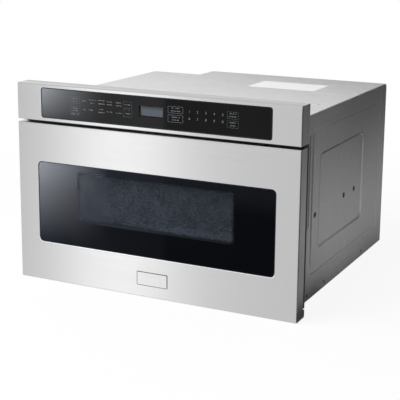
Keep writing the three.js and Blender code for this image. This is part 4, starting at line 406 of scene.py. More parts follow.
@dataclass(frozen=True)
class DottedGlass(SeeThrough):
    """A printed glass with dots over its clear field, toned by painted light, and a faint band under it.

    Each ramp but that of the dots starts and ends so many millimetres from an edge of the field
    or from the middle. The grain and the clouds are counts a metre.
    """

    haze: Colour = (0.066, 0.080, 0.102)
    grain: Point = (165.0, 165.0, 250.0)
    clouds: float = 38.0
    cloud_share: float = 0.4
    dots: Ramp = (0.58, 0.82, 0.31, 0.74)
    # painted light: the dots grow paler towards the field's foot, over its right part
    foot: Ramp = (2.0, 16.0, 0.85, 0.0)
    foot_side: Ramp = (-50.0, 60.0, 0.0, 1.0)
    # painted shade: the dots darken towards the field's top
    crown_shade: Ramp = (-24.0, -2.0, 1.0, 0.7)
    left_side: Ramp = (0.0, 200.0, 0.35, 1.0)
    band_foot: Ramp = (-7.0, -5.0, 0.0, 1.0)
    band_top: Ramp = (-1.0, 1.0, 1.0, 0.0)
    band_left: Ramp = (0.0, 90.0, 0.0, 0.16)
    band_right: Ramp = (0.0, 10.0, 1.0, 0.0)
    veil: Ramp = (-40.0, 0.0, 0.0, 0.08)

    def tint(self, bench: Bench, colour: Socket) -> Socket:
        """Print fine uneven dots over the clear field, with painted shade at its top and painted
        light at its foot, and a band under it.

        Args:
            bench: The material's bench.
            colour: The glass's own colour.

        Returns:
            The colour with the print on it.
        """
        def ramp(value: Socket, edge: float, levels: Ramp) -> Socket:
            """Return a ramp that starts and ends so many millimetres from an edge."""
            return bench.span(value, (edge + levels[0]) * MM, (edge + levels[1]) * MM, *levels[2:])

        across, _, height = bench.split(bench.place())
        (left, low), high = self.field_low, self.field_high[1]
        fine = bench.noise(bench.vector("MULTIPLY", bench.place(), self.grain).outputs[0],
                           scale=1.0, detail=2.0)
        cloud = bench.noise(bench.place(), scale=self.clouds, detail=3.0)
        dots = bench.span(bench.maths("MULTIPLY_ADD", cloud, self.cloud_share, fine), *self.dots)
        # the dots' tone: painted light at the field's foot and painted shade at its top
        foot = bench.times(ramp(height, low, self.foot), ramp(across, 0.0, self.foot_side))
        tone = bench.maths("ADD", foot, ramp(height, high, self.crown_shade))
        dots = bench.times(dots, tone, ramp(across, left, self.left_side), self.field_mask(bench))
        band = bench.times(ramp(height, low, self.band_foot), ramp(height, low, self.band_top),
                           ramp(across, left, self.band_left), ramp(across, -left, self.band_right))
        share = bench.most(bench.most(dots, band), ramp(height, high, self.veil))
        return bench.blend(share, colour, self.haze)


@dataclass(frozen=True)
class ClearGlass(Finish):
    """Plain clear glass."""

    def dress(self, bench: Bench, shader: Node) -> None:
        """Let the light through."""
        shader.inputs["Transmission Weight"].default_value = 1.0


@dataclass(frozen=True)
class Board(Finish):
    """A printed circuit board: lacquer between two levels, and darker parts that stand off it."""

    level: Flat = (0.0, 0.0)
    axis: Axis = Axis.Z
    parts: float = 45.0  # how many of them fill a metre
    dark: Colour = (0.02, 0.02, 0.022)
    pale: Colour = (0.16, 0.15, 0.13)

    def tint(self, bench: Bench, colour: Socket) -> Socket:
        """Colour what stands off the board as moulded parts, each with a tone of its own.

        Args:
            bench: The material's bench.
            colour: The lacquer's colour.

        Returns:
            The colour with the parts on it.
        """
        place = bench.place()
        along = bench.split(place)[self.axis.value]
        off = bench.most(bench.maths("GREATER_THAN", along, self.level[1] * MM),
                         bench.maths("LESS_THAN", along, self.level[0] * MM))
        cells = bench.add("ShaderNodeTexVoronoi", {"Vector": place, "Scale": self.parts})
        parts = bench.blend(bench.split(cells.outputs["Color"])[0], self.dark, self.pale)
        return bench.blend(off, colour, parts)


@dataclass(frozen=True)
class Striped(Finish):
    """A dark display with faint upright strips of its cells."""

    pitch: float = 2.0
    strip: Colour = (0.17, 0.20, 0.24)
    levels: Ramp = (-0.2, 0.9, 0.0, 0.45)

    def tint(self, bench: Bench, colour: Socket) -> Socket:
        """Lay faint strips over the colour."""
        wave = bench.maths("SINE", bench.times(bench.split(bench.place())[0],
                                               2 * math.pi / (self.pitch * MM)))
        return bench.blend(bench.span(wave, *self.levels), colour, self.strip)


@dataclass(frozen=True)
class Outline:
    """One pressing's outline on the right side, in millimetres.

    The front and top edges get painted shade by lead and the rear and bottom ones by trail, or a
    painted highlight instead where the number is below zero.
    """

    near: float
    far: float
    low: float
    high: float
    corner: float
    lead: float
    trail: float


@dataclass(frozen=True)
class EdgeShadedSheet(Finish):
    """Sheet with painted shade and painted highlights along the edges of the right side's pressings."""

    edges: tuple[Outline, ...] = ()
    inset: float = 3.0
    width: Flat = (1.0, 4.0)
    lean: float = 0.3

    def draw(self, bench: Bench, edge: Outline, colour: Socket) -> Socket:
        """Paint shade and highlight along one pressing's edges.

        Args:
            bench: The material's bench.
            edge: The pressing's outline and the strengths of its painted shade and highlight.
            colour: The colour so far.

        Returns:
            The colour with the painted shade and highlight of these edges on it.
        """
        across, back, up = bench.split(bench.place())
        offs, shares = [], []
        for value, start, end in ((back, edge.near + FRONT_Y, edge.far + FRONT_Y),
                                  (up, edge.low, edge.high)):
            half = (end - start) / 2 * MM
            off = bench.maths("SUBTRACT", value, (start + end) / 2 * MM)
            shares.append(bench.maths("DIVIDE", off, half))
            past = bench.maths("SUBTRACT", bench.maths("ABSOLUTE", off), half - edge.corner * MM)
            offs.append(bench.most(past, 0.0))
        flat = bench.add("ShaderNodeCombineXYZ", dict(enumerate(offs))).outputs[0]
        away = bench.vector("LENGTH", flat).outputs["Value"]
        gap = bench.maths("ABSOLUTE", bench.maths("SUBTRACT", away, (edge.corner - self.inset) * MM))
        line = bench.times(bench.span(gap, self.width[0] * MM, self.width[1] * MM, 1.0, 0.0),
                           bench.maths("GREATER_THAN", across, 0.0))
        side = bench.maths("SUBTRACT", shares[1], shares[0])
        for amount, start in ((edge.lead, -self.lean), (edge.trail, self.lean)):
            share = bench.times(line, bench.span(side, start, -start, 0.0, abs(amount)))
            # painted shade blends towards black, a painted highlight towards white
            colour = bench.blend(share, colour, (float(amount < 0),) * 3)
        return colour

    def tint(self, bench: Bench, colour: Socket) -> Socket:
        """Paint shade and highlight along the edges of each pressing.

        Args:
            bench: The material's bench.
            colour: The sheet's own colour.

        Returns:
            The colour with the painted shade and highlights of all edges on it.
        """
        for edge in self.edges:
            colour = self.draw(bench, edge, colour)
        return colour


def stretched(x: float, y: float, z: float) -> Settings:
    """Return the settings of a pattern that is stretched by these counts a metre."""
    return (("Stretch", (x, y, z)),)


STAINLESS = Finish("brushed_stainless", (0.545, 0.545, 0.548), (0.50, 0.50, 0.503), 0.30, 0.04, 1.0,
                   Pattern.BRUSHED, stretched(3, 1300, 1300), 0.05, dust=0.03, anisotropic=0.75,
                   turn=0.25)
PLATE_STEEL = Finish("polished_plate", (0.57, 0.57, 0.57), (0.51, 0.51, 0.51), 0.27, 0.05, 1.0,
                     Pattern.BRUSHED, stretched(6, 1500, 1500), 0.08, dust=0.04)
# near-white steel for the window's lower edge bead, which stands as a painted highlight
HIGHLIGHT_STEEL = Finish("bright_edge", (0.97, 0.97, 0.97), (0.90, 0.90, 0.90), 0.2, 0.04, 1.0,
                    Pattern.BRUSHED, stretched(5, 900, 900), 0.05, dust=0.03)
GALVANISED = EdgeShadedSheet("galvanised", (0.84, 0.84, 0.84), (0.70, 0.70, 0.70), 0.44, 0.06, 0.93,
                     Pattern.SPANGLED, (("Cells", 120.0), ("Drift", 5.0)), 0.05, dust=0.08)
# the wrap's sheet, with painted shade and painted highlights along its side pressings' edges
WRAP_SHEET = replace(GALVANISED, name="pressed_sheet", edges=(
    Outline(169.0, 440.0, 93.0, 285.8, 15.0, lead=0.8, trail=-0.4),
    Outline(127.0, 526.0, 47.0, 336.8, 10.0, lead=-0.7, trail=-0.3)))
FRAME_PLATE = Finish("frame_plate", (0.17, 0.17, 0.175), (0.11, 0.11, 0.115), 0.5, 0.07, 0.6,
                     Pattern.SPANGLED, (("Cells", 150.0), ("Drift", 9.0)), 0.05, dust=0.12)
CAVITY_STEEL = Finish("cavity_steel", (0.52, 0.52, 0.515), (0.43, 0.43, 0.425), 0.38, 0.06, 0.9,
                      Pattern.BRUSHED, stretched(260, 5, 260), 0.08, dust=0.08)
ZINC = Finish("zinc_plated", (0.56, 0.56, 0.55), (0.42, 0.42, 0.40), 0.36, 0.08, 0.9,
              Pattern.SPANGLED, (("Cells", 420.0), ("Drift", 30.0)), 0.05, dust=0.12)
ALUMINIUM = Finish("bare_aluminium", (0.66, 0.665, 0.67), (0.54, 0.545, 0.55), 0.36, 0.07, 1.0,
                   Pattern.BRUSHED, stretched(300, 300, 20), 0.1, dust=0.12)
BLACK_PLASTIC = Finish("black_plastic", (0.022, 0.022, 0.024), (0.012, 0.012, 0.013), 0.5, 0.08,
                       bump=0.25, dust=0.12)
SEAL_PLASTIC = Finish("seal_plastic", (0.03, 0.03, 0.032), (0.016, 0.016, 0.017), 0.58, 0.06,
                      bump=0.2, dust=0.1)
WHITE_PLASTIC = Finish("white_plastic", (0.72, 0.71, 0.67), (0.64, 0.63, 0.59), 0.45, 0.06,
                       bump=0.15, dust=0.12)
NYLON = Finish("nylon", (0.74, 0.72, 0.64), (0.66, 0.64, 0.56), 0.42, 0.06, bump=0.12, dust=0.1)
MICA = Finish("mica", (0.62, 0.55, 0.40), (0.48, 0.41, 0.28), 0.42, 0.1, pattern=Pattern.SPANGLED,
              settings=(("Cells", 70.0), ("Drift", 18.0)), bump=0.12, dust=0.05)
TRAY_GLASS = Finish("ceramic_tray", (0.78, 0.77, 0.73), (0.72, 0.71, 0.67), 0.14, 0.03, bump=0.03,
                    dust=0.03, coat=0.4)
COPPER = Finish("copper_winding", (0.62, 0.26, 0.12), (0.34, 0.11, 0.05), 0.35, 0.08, 0.8,
                Pattern.WOUND, stretched(0, 0, 5200), 0.6, 0.0004, dust=0.15, coat=0.4)
LAMINATION = Finish("lamination_steel", (0.30, 0.30, 0.30), (0.17, 0.17, 0.175), 0.45, 0.08, 0.7,
                    Pattern.LAYERED, stretched(0, 6000, 0), 0.5, 0.0003, dust=0.2)
SCREEN_PAINT = Finish("screen_paint", (0.30, 0.335, 0.40), (0.11, 0.125, 0.165), 0.42, 0.08, 0.2,
                      settings=(("Grain", 420.0), ("Drift", 42.0)), bump=0.15, dust=0.05)
LABEL_PAPER = Finish("label_paper", (0.92, 0.92, 0.92), (0.88, 0.88, 0.88), 0.55, 0.05, bump=0.1,
                     dust=0.04)
PRINT = Finish("panel_print", (0.33, 0.34, 0.35), (0.24, 0.25, 0.26), 0.5, 0.05, bump=0.02,
               dust=0.02)
GLASS_EDGE = Finish("glass_edge", (0.010, 0.024, 0.042), (0.006, 0.016, 0.029), 0.2, 0.03, bump=0.02,
                    dust=0.02, specular=0.3)
PLATE_RIM = Finish("plate_rim", (0.20, 0.21, 0.215), (0.14, 0.15, 0.155), 0.35, 0.05, 0.8,
                   Pattern.BRUSHED, stretched(6, 900, 900), 0.08, dust=0.04)
SCREW_STEEL = Finish("screw_steel", (0.50, 0.50, 0.49), (0.36, 0.36, 0.35), 0.32, 0.08, 0.95,
                     Pattern.SPANGLED, (("Cells", 600.0), ("Drift", 60.0)), 0.05, dust=0.15)
CONTROL_GLASS = SeeThrough("control_glass", (0.0035, 0.0037, 0.0045), (0.0025, 0.0027, 0.0033), 0.05,
                           0.012, bump=0.0, dust=0.012, specular=0.12,
                           field_low=(-25.4, 358.3), field_high=(25.4, 377.3), fade=0.4, cover=0.12)
WINDOW_GLASS = DottedGlass("window_glass", (0.0022, 0.0025, 0.004), (0.0016, 0.0018, 0.003), 0.05,
                           0.012, bump=0.0, dust=0.004, specular=0.02,
                           field_low=(-163.0, 138.5), field_high=(171.5, 232.0), fade=3.6, cover=0.5)
INNER_GLASS = ClearGlass("inner_glass", (0.93, 0.95, 0.95), (0.90, 0.93, 0.93), 0.04, 0.01,
                         bump=0.0, dust=0.01)
DISPLAY = Striped("display", (0.22, 0.26, 0.31), (0.18, 0.215, 0.265), 0.3, 0.04, bump=0.02,
                  dust=0.02)
CONTROL_BOARD = Board("control_board", (0.02, 0.13, 0.06), (0.012, 0.09, 0.04), 0.4, 0.06,
                      settings=(("Grain", 260.0), ("Drift", 60.0)), bump=0.2, dust=0.1,
                      level=(-283.2, -281.2), axis=Axis.Y)
FILTER_BOARD = Board("filter_board", (0.10, 0.11, 0.03), (0.07, 0.08, 0.02), 0.45, 0.06,
                     settings=(("Grain", 260.0), ("Drift", 60.0)), bump=0.2, dust=0.2,
                     level=(11.0, 14.0))


def sides(*names: str) -> tuple[str, ...]:
    """Return the names of nodes that stand once on the right and once on the left."""
    return tuple(f"{side}_{name}" for name in names for side in ("right", "left"))


FINISHED_NODES: tuple[tuple[Finish, tuple[str, ...]], ...] = (
    (WRAP_SHEET, ("outer_wrap",)),
    (GALVANISED, ("base_pan", "back_panel", "drive_bracket", *sides("cavity_rail"))),
    (FRAME_PLATE, ("mounting_frame",)),
    (STAINLESS, ("control_fascia", "drawer_front")),
    (BLACK_PLASTIC, ("cord_gland", "control_housing", "thermal_cutout", "fan_shroud", "cooling_fan",
                     "door_frame")),
    (SEAL_PLASTIC, ("choke_cover",)),
    (DISPLAY, ("display_module",)),
    (CONTROL_BOARD, ("control_board",)),
    (FILTER_BOARD, ("filter_board",)),
    (CAVITY_STEEL, ("oven_cavity", "waveguide", "choke_pan", "drawer_bowl")),
    (MICA, ("stirrer_cover",)),
    (ALUMINIUM, ("stirrer_blade", "magnetron_tube", "capacitor")),
    (ZINC, ("stirrer_motor", "magnetron_yoke", "magnetron_filter_box", "capacitor_strap",
            "drive_motor", *sides("slide_outer", "slide_middle", "slide_inner", "slide_arm"))),
    (WHITE_PLASTIC, ("oven_lamp", *sides("interlock_switches"))),
    (LAMINATION, ("transformer_core", "fan_motor")),
    (COPPER, ("transformer_primary_coil", "transformer_secondary_coil")),
    (NYLON, ("drive_rack", "drive_pinion", *sides("interlock_tongue"))),
    (INNER_GLASS, ("inner_window",)),
    (TRAY_GLASS, ("glass_tray",)),
)
NODE_FINISHES = {node: finish for finish, nodes in FINISHED_NODES for node in nodes}


# ---- Meshes ----
def rounded(width: float, height: float, radius: float, centre: Flat = (0.0, 0.0), steps: int = 6
            ) -> list[Flat]:
    """Draw a rectangle with rounded corners.

    Args:
        width: Its width.
        height: Its height.
        radius: The radius of its corners.
        centre: Its middle.
        steps: The facets of each corner.

    Returns:
        Its outline, counter-clockwise from the right.
    """
    outline = []
    for corner, (sign_x, sign_y) in enumerate(((1, 1), (-1, 1), (-1, -1), (1, -1))):
        for step in range(steps + 1):
            angle = math.pi / 2 * (corner + step / steps)
            outline.append((centre[0] + sign_x * (width / 2 - radius) + radius * math.cos(angle),
                            centre[1] + sign_y * (height / 2 - radius) + radius * math.sin(angle)))
    return outline


class Mould:
    """Collects closed forms in millimetres and turns them into one mesh."""

    def __init__(self) -> None:
        """Start with nothing in the mould."""
        self.shape = bmesh.new()

    def loft(self, loops: Sequence[Sequence[Point]], hoop: bool = False) -> "Mould":
        """Join equal loops one after another.

        Args:
            loops: The loops, each with as many points as the others.
            hoop: Whether the last one joins the first; otherwise both ends are closed.

        Returns:
            The mould itself.
        """
        rings = [[self.shape.verts.new(point) for point in loop] for loop in loops]
        for low, high in zip(rings, rings[1:] + (rings[:1] if hoop else [])):
            for i, vertex in enumerate(low):
                j = (i + 1) % len(low)
                self.shape.faces.new((vertex, low[j], high[j], high[i]))
        if not hoop:
            self.shape.faces.new(list(reversed(rings[0])))
            self.shape.faces.new(rings[-1])
        return self

    def slab(self, outlines: Sequence[tuple[Sequence[Flat], float]], axis: Axis = Axis.Y,
             hoop: bool = False) -> "Mould":
        """Loft flat outlines.

        Args:
            outlines: Pairs of an outline and its place along the axis.
            axis: The axis that they follow one another along.
            hoop: Whether the last one joins the first.

        Returns:
            The mould itself.
        """
        cut = axis.value
        return self.loft([[(*point[:cut], level, *point[cut:]) for point in outline]
                          for outline, level in outlines], hoop)

    def turned(self, profile: Sequence[Flat], centre: Point, facing: Point, steps: int = 20) -> "Mould":
        """Turn a profile about an axis.

        Args:
            profile: Pairs of a radius and a height.
            centre: The point that the heights start from.
            facing: The way that they go.
            steps: The facets of a full turn.

        Returns:
            The mould itself.
        """
        turn = Vector((0, 0, 1)).rotation_difference(Vector(facing)).to_matrix()
        return self.loft([[tuple(turn @ Vector((*spot, height)) + Vector(centre))
                           for spot in ring(radius, steps)] for radius, height in profile])

    def mesh(self, name: str, front: float = FRONT_Y) -> Mesh:
        """Empty the mould.

        Args:
            name: The mesh's name.
            front: Where the front face lies along y.

        Returns:
            Everything so far as one mesh in metres.
        """
        bmesh.ops.recalc_face_normals(self.shape, faces=self.shape.faces)
        for vertex in self.shape.verts:
            vertex.co = Vector((vertex.co.x, vertex.co.y + front, vertex.co.z)) * MM
        mesh = bpy.data.meshes.new(name)
        self.shape.to_mesh(mesh)
        self.shape.free()
        return mesh

    def fit(self, name: str, finish: Finish, body: Body, slot: Slot, replaces: Iterable[str] = ()
            ) -> None:
        """Make what is in the mould a piece of the object."""
        fit_out(name, self.mesh(name), finish, body, slot, replaces)


def ring(radius: float, steps: int) -> list[Flat]:
    """Return points evenly round a circle."""
    turns = [2 * math.pi * step / steps for step in range(steps)]
    return [(radius * math.cos(turn), radius * math.sin(turn)) for turn in turns]


def fit_out(name: str, mesh: Mesh, finish: Finish, body: Body, slot: Slot,
            replaces: Iterable[str] = (), smooth: bool = False) -> None:
    """Make a piece of the object and hang it on its body's empty.

    Args:
        name: The piece's name.
        mesh: Its mesh, in metres in the part's frame.
        finish: Its finish.
        body: The body that it moves with.
        slot: Not used.
        replaces: The CAD nodes that it stands for.
        smooth: Whether its facets are shaded as one rounded surface.
    """
    piece = bpy.data.objects.new(name, mesh)
    bpy.context.scene.collection.objects.link(piece)
    mesh.materials.clear()
    mesh.materials.append(finish.material())
    if smooth:
        mesh.shade_smooth()
    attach(piece, body.value)
    for node in replaces:
        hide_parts(node)
    LOG.info("%s: %d faces on %s", name, len(mesh.polygons), body.value)


# ---- Geometry Nodes ----
@dataclass
class Layout:
    """A Geometry Nodes tree with named inputs, run once on a mesh."""

    name: str
    inputs: dict[str, str]

    def __post_init__(self) -> None:
        """Start the tree with its geometry and its named inputs."""
        self.tree = bpy.data.node_groups.new(self.name, "GeometryNodeTree")
        face = self.tree.interface
        face.new_socket("Geometry", in_out="INPUT", socket_type="NodeSocketGeometry")
        self.sockets = {key: face.new_socket(key, in_out="INPUT", socket_type=kind).identifier
                        for key, kind in self.inputs.items()}
        self.sockets["Material"] = face.new_socket("Material", in_out="INPUT",
                                                   socket_type="NodeSocketMaterial").identifier
        face.new_socket("Geometry", in_out="OUTPUT", socket_type="NodeSocketGeometry")
        self.bench = Bench(self.tree)
        self.take = self.bench.add("NodeGroupInput")

    def given(self, key: str) -> Socket:
        """Return the socket of a named input."""
        return self.take.outputs[key]

    def close(self, made: Socket) -> None:
        """End the tree: real geometry in one material.

        Args:
            made: The geometry that the tree has made, with its instances.
        """
        real = self.bench.add("GeometryNodeRealizeInstances", {0: made})
        dressed = self.bench.add("GeometryNodeSetMaterial", {"Geometry": real.outputs[0],
                                                             "Material": self.given("Material")})
        self.bench.add("NodeGroupOutput", {0: dressed.outputs[0]})

    def run(self, mesh: Mesh, finish: Finish, **values: object) -> Mesh:
        """Run the tree on a mesh.

        Args:
            mesh: The mesh that the tree starts from.
            finish: The finish of what it makes.
            values: A value for each named input, with spaces as underscores.

        Returns:
            The result as a plain mesh.
        """
        carrier = bpy.data.objects.new(f"{self.name}_carrier", mesh)
        bpy.context.scene.collection.objects.link(carrier)
        modifier = carrier.modifiers.new(self.name, "NODES")
        modifier.node_group = self.tree
        modifier[self.sockets["Material"]] = finish.material()
        for key, value in values.items():
            modifier[self.sockets[key.replace("_", " ")]] = value
        graph = bpy.context.evaluated_depsgraph_get()
        made = bpy.data.meshes.new_from_object(carrier.evaluated_get(graph), depsgraph=graph)
        bpy.data.objects.remove(carrier)
        return made


@lru_cache(maxsize=None)
def staggered_tree() -> Layout:
    """Build the tree that repeats a cell in staggered rows over an upright field.

    Returns:
        The finished tree.
    """
    tree = Layout("staggered_rows", {
        "Columns": "NodeSocketInt", "Rows": "NodeSocketInt", "Pitch": "NodeSocketFloat",
        "Row Pitch": "NodeSocketFloat", "Centre": "NodeSocketVector"})
    bench, given = tree.bench, tree.given
    width = bench.times(bench.maths("SUBTRACT", given("Columns"), 1.0), given("Pitch"))
    height = bench.times(bench.maths("SUBTRACT", given("Rows"), 1.0), given("Row Pitch"))
    grid = bench.add("GeometryNodeMeshGrid", {"Size X": width, "Size Y": height,
                                              "Vertices X": given("Columns"),
                                              "Vertices Y": given("Rows")})
    across, up, _ = bench.split(bench.add("GeometryNodeInputPosition").outputs[0])
    row = bench.maths("ROUND", bench.maths("DIVIDE", bench.maths("MULTIPLY_ADD", height, 0.5, up),
                                           given("Row Pitch")))
    odd = bench.maths("SUBTRACT", bench.maths("MODULO", row, 2.0), 0.5)
    shift = bench.times(odd, 0.5, given("Pitch"))
    flat = bench.add("ShaderNodeCombineXYZ", {0: bench.maths("ADD", across, shift), 2: up})
    target = bench.vector("ADD", flat.outputs[0], given("Centre"))
    moved = bench.add("GeometryNodeSetPosition", {"Geometry": grid.outputs["Mesh"],
                                                  "Position": target.outputs[0]})
    copies = bench.add("GeometryNodeInstanceOnPoints", {"Points": moved.outputs[0],
                                                        "Instance": given("Geometry")})
    tree.close(copies.outputs[0])
    return tree


@lru_cache(maxsize=None)
def copies_tree() -> Layout:
    """Build the tree that sets a copy of one form on every point, facing its own way.

    Returns:
        The finished tree.
    """
    tree = Layout("set_copies", {"Form": "NodeSocketObject"})
    bench = tree.bench
    form = bench.add("GeometryNodeObjectInfo", {"Object": tree.given("Form")})
    facing = bench.add("GeometryNodeInputNamedAttribute", {"Name": "facing"},
                       data_type="FLOAT_VECTOR")
    turn = bench.add("FunctionNodeAlignRotationToVector", {"Vector": facing.outputs[0]}, axis="Z")
    copies = bench.add("GeometryNodeInstanceOnPoints", {
        "Points": tree.given("Geometry"), "Instance": form.outputs["Geometry"],
        "Rotation": turn.outputs[0]})
    tree.close(copies.outputs[0])
    return tree


@lru_cache(maxsize=None)
def trim_tree() -> Layout:
    """Build the tree that runs a round bead along the edges of a path.

    Returns:
        The finished tree.
    """
    tree = Layout("trim_bead", {"Radius": "NodeSocketFloat", "Sides": "NodeSocketInt"})
    bench = tree.bench
    path = bench.add("GeometryNodeMeshToCurve", {0: tree.given("Geometry")})
    circle = bench.add("GeometryNodeCurvePrimitiveCircle", {"Resolution": tree.given("Sides"),
                                                            "Radius": tree.given("Radius")})
    bead = bench.add("GeometryNodeCurveToMesh", {"Curve": path.outputs[0],
                                                 "Profile Curve": circle.outputs[0],
                                                 "Fill Caps": True})
    tree.close(bead.outputs[0])
    return tree


@lru_cache(maxsize=None)
def dots_tree() -> Layout:
    """Build the tree that prints small dots at an even spacing along a path.

    Returns:
        The finished tree.
    """
    tree = Layout("dotted_line", {"Spacing": "NodeSocketFloat", "Dot": "NodeSocketFloat"})
    bench = tree.bench
    path = bench.add("GeometryNodeMeshToCurve", {0: tree.given("Geometry")})
    points = bench.add("GeometryNodeCurveToPoints", {"Curve": path.outputs[0],
                                                     "Length": tree.given("Spacing")}, mode="LENGTH")
    dot = bench.add("GeometryNodeMeshCircle", {"Vertices": 6, "Radius": tree.given("Dot")},
                    fill_type="NGON")
    copies = bench.add("GeometryNodeInstanceOnPoints", {
        "Points": points.outputs["Points"], "Instance": dot.outputs[0],
        "Rotation": (math.pi / 2, 0.0, 0.0)})
    tree.close(copies.outputs[0])
    return tree


def path_mesh(name: str, loops: Sequence[Sequence[Point]], closed: bool = True) -> Mesh:
    """Draw paths.

    Args:
        name: The mesh's name.
        loops: The points of each path.
        closed: Whether each path's last point joins its first.

    Returns:
        A mesh of edges only, in metres in the part's frame.
    """
    points, edges = [], []
    for loop in loops:
        start = len(points)
        points += [(x * MM, (y + FRONT_Y) * MM, z * MM) for x, y, z in loop]
        edges += [(start + i, start + i + 1) for i in range(len(loop) - 1)]
        if closed:
            edges.append((start + len(loop) - 1, start))
    mesh = bpy.data.meshes.new(name)
    mesh.from_pydata(points, edges, [])
    return mesh


def lay_bead(name: str, path: Sequence[Point], radius: float, finish: Finish, body: Body,
             slot: Slot, closed: bool = True) -> None:
    """Run a round bead along a path and make it a piece of the object.

    Args:
        name: The piece's name.
        path: The points of the path.
        radius: The bead's radius.
        finish: Its finish.
        body: The body that it moves with.
        slot: The name of a material slot of the record, passed on.
        closed: Whether the path's last point joins its first.
    """
    path = path_mesh(f"{name}_path", [path], closed)
    bead = trim_tree().run(path, finish, Radius=radius * MM, Sides=BEAD_SIDES)
    fit_out(name, bead, finish, body, slot, smooth=True)


def set_copies(name: str, form: Mesh, places: Sequence[tuple[Point, Point]],
               finish: Finish) -> Mesh:
    """Set a copy of a form, made at the origin along z, at each place and facing.

    Args:
        name: The mesh's name.
        form: The form in metres, standing on the origin along z.
        places: Pairs of a place in millimetres and the way the copy faces.
        finish: The copies' finish.

    Returns:
        One plain mesh of all the copies.
    """
    points = path_mesh(name, [[place] for place, _ in places], closed=False)
    facing = points.attributes.new("facing", "FLOAT_VECTOR", "POINT")
    for item, (_, way) in zip(facing.data, places):
        item.vector = way
    pattern = bpy.data.objects.new(f"{name}_form", form)
    bpy.context.scene.collection.objects.link(pattern)
    made = copies_tree().run(points, finish, Form=pattern)
    bpy.data.objects.remove(pattern)
    return made


@dataclass
class Screw:
    """A pan-head screw with a cross recess, standing on the origin.

    The profile's pairs are shares of its radius and height. Of the last two loops, the rim of
    the recess and its floor, the four arms and the webs between them reach out by their shares.
    """

    radius: float = 3.4
    height: float = 1.7
    recess: float = 0.9
    facets: int = 16
    arm_every: int = 4
    profile: tuple[Flat, ...] = ((1.0, 0.0), (1.0, 0.35), (0.86, 0.75), (0.6, 0.97))
    cross: float = 0.3
    rim_reach: Flat = (1.5, 0.55)
    floor_reach: Flat = (0.9, 0.35)

    def cross_loop(self, level: float, reach: Flat) -> list[Point]:
        """Return a loop of the recess at a level, its arms and webs reaching out by their shares."""
        loop = ring(self.radius * self.cross, self.facets)
        return [(x * reach[i % self.arm_every > 0], y * reach[i % self.arm_every > 0], level)
                for i, (x, y) in enumerate(loop)]

    def form(self) -> Mesh:
        """Build the screw.

        Returns:
            Its mesh, in metres.
        """
        loops = [[(x, y, self.height * rise) for x, y in ring(self.radius * share, self.facets)]
                 for share, rise in self.profile]
        loops += [self.cross_loop(self.height, self.rim_reach),
                  self.cross_loop(self.height - self.recess, self.floor_reach)]
        return Mould().loft(loops).mesh("screw_form", 0.0)


# ---- Sub-assemblies ----
@dataclass
class GlassPanel:
    """A glass set in the front, with its ground edge and polished rim."""

    half: float
    low: float
    high: float
    corner: float
    corner_steps: int
    rim: float
    front: float = 0.4
    back: float = 4.4
    arris: float = 1.4
    arris_depth: float = 0.84
    rim_depth: float = 0.3

    def outline(self, inset: float) -> list[Flat]:
        """Return the glass's outline, moved in by so much."""
        return rounded(2 * (self.half - inset), self.high - self.low - 2 * inset,
                       self.corner - inset, (0.0, (self.high + self.low) / 2), self.corner_steps)

    def glass(self, node: str, finish: Finish, body: Body) -> None:
        """Build the glass in place of its CAD node.

        Args:
            node: The CAD node that it stands for.
            finish: Its finish.
            body: The body that it moves with.
        """
        edge = self.outline(0.0)
        shape = Mould().slab([(self.outline(self.arris), self.front),
                              (edge, self.front + self.arris_depth), (edge, self.back)])
        shape.fit(f"{node}_panel", finish, body, Slot.BLACK_GLASS, [node])
        rim = [(x, self.front + self.rim_depth, z) for x, z in self.outline(self.arris / 2)]
        lay_bead(f"{node}_rim", rim, self.rim, GLASS_EDGE, body, Slot.BLACK_GLASS)


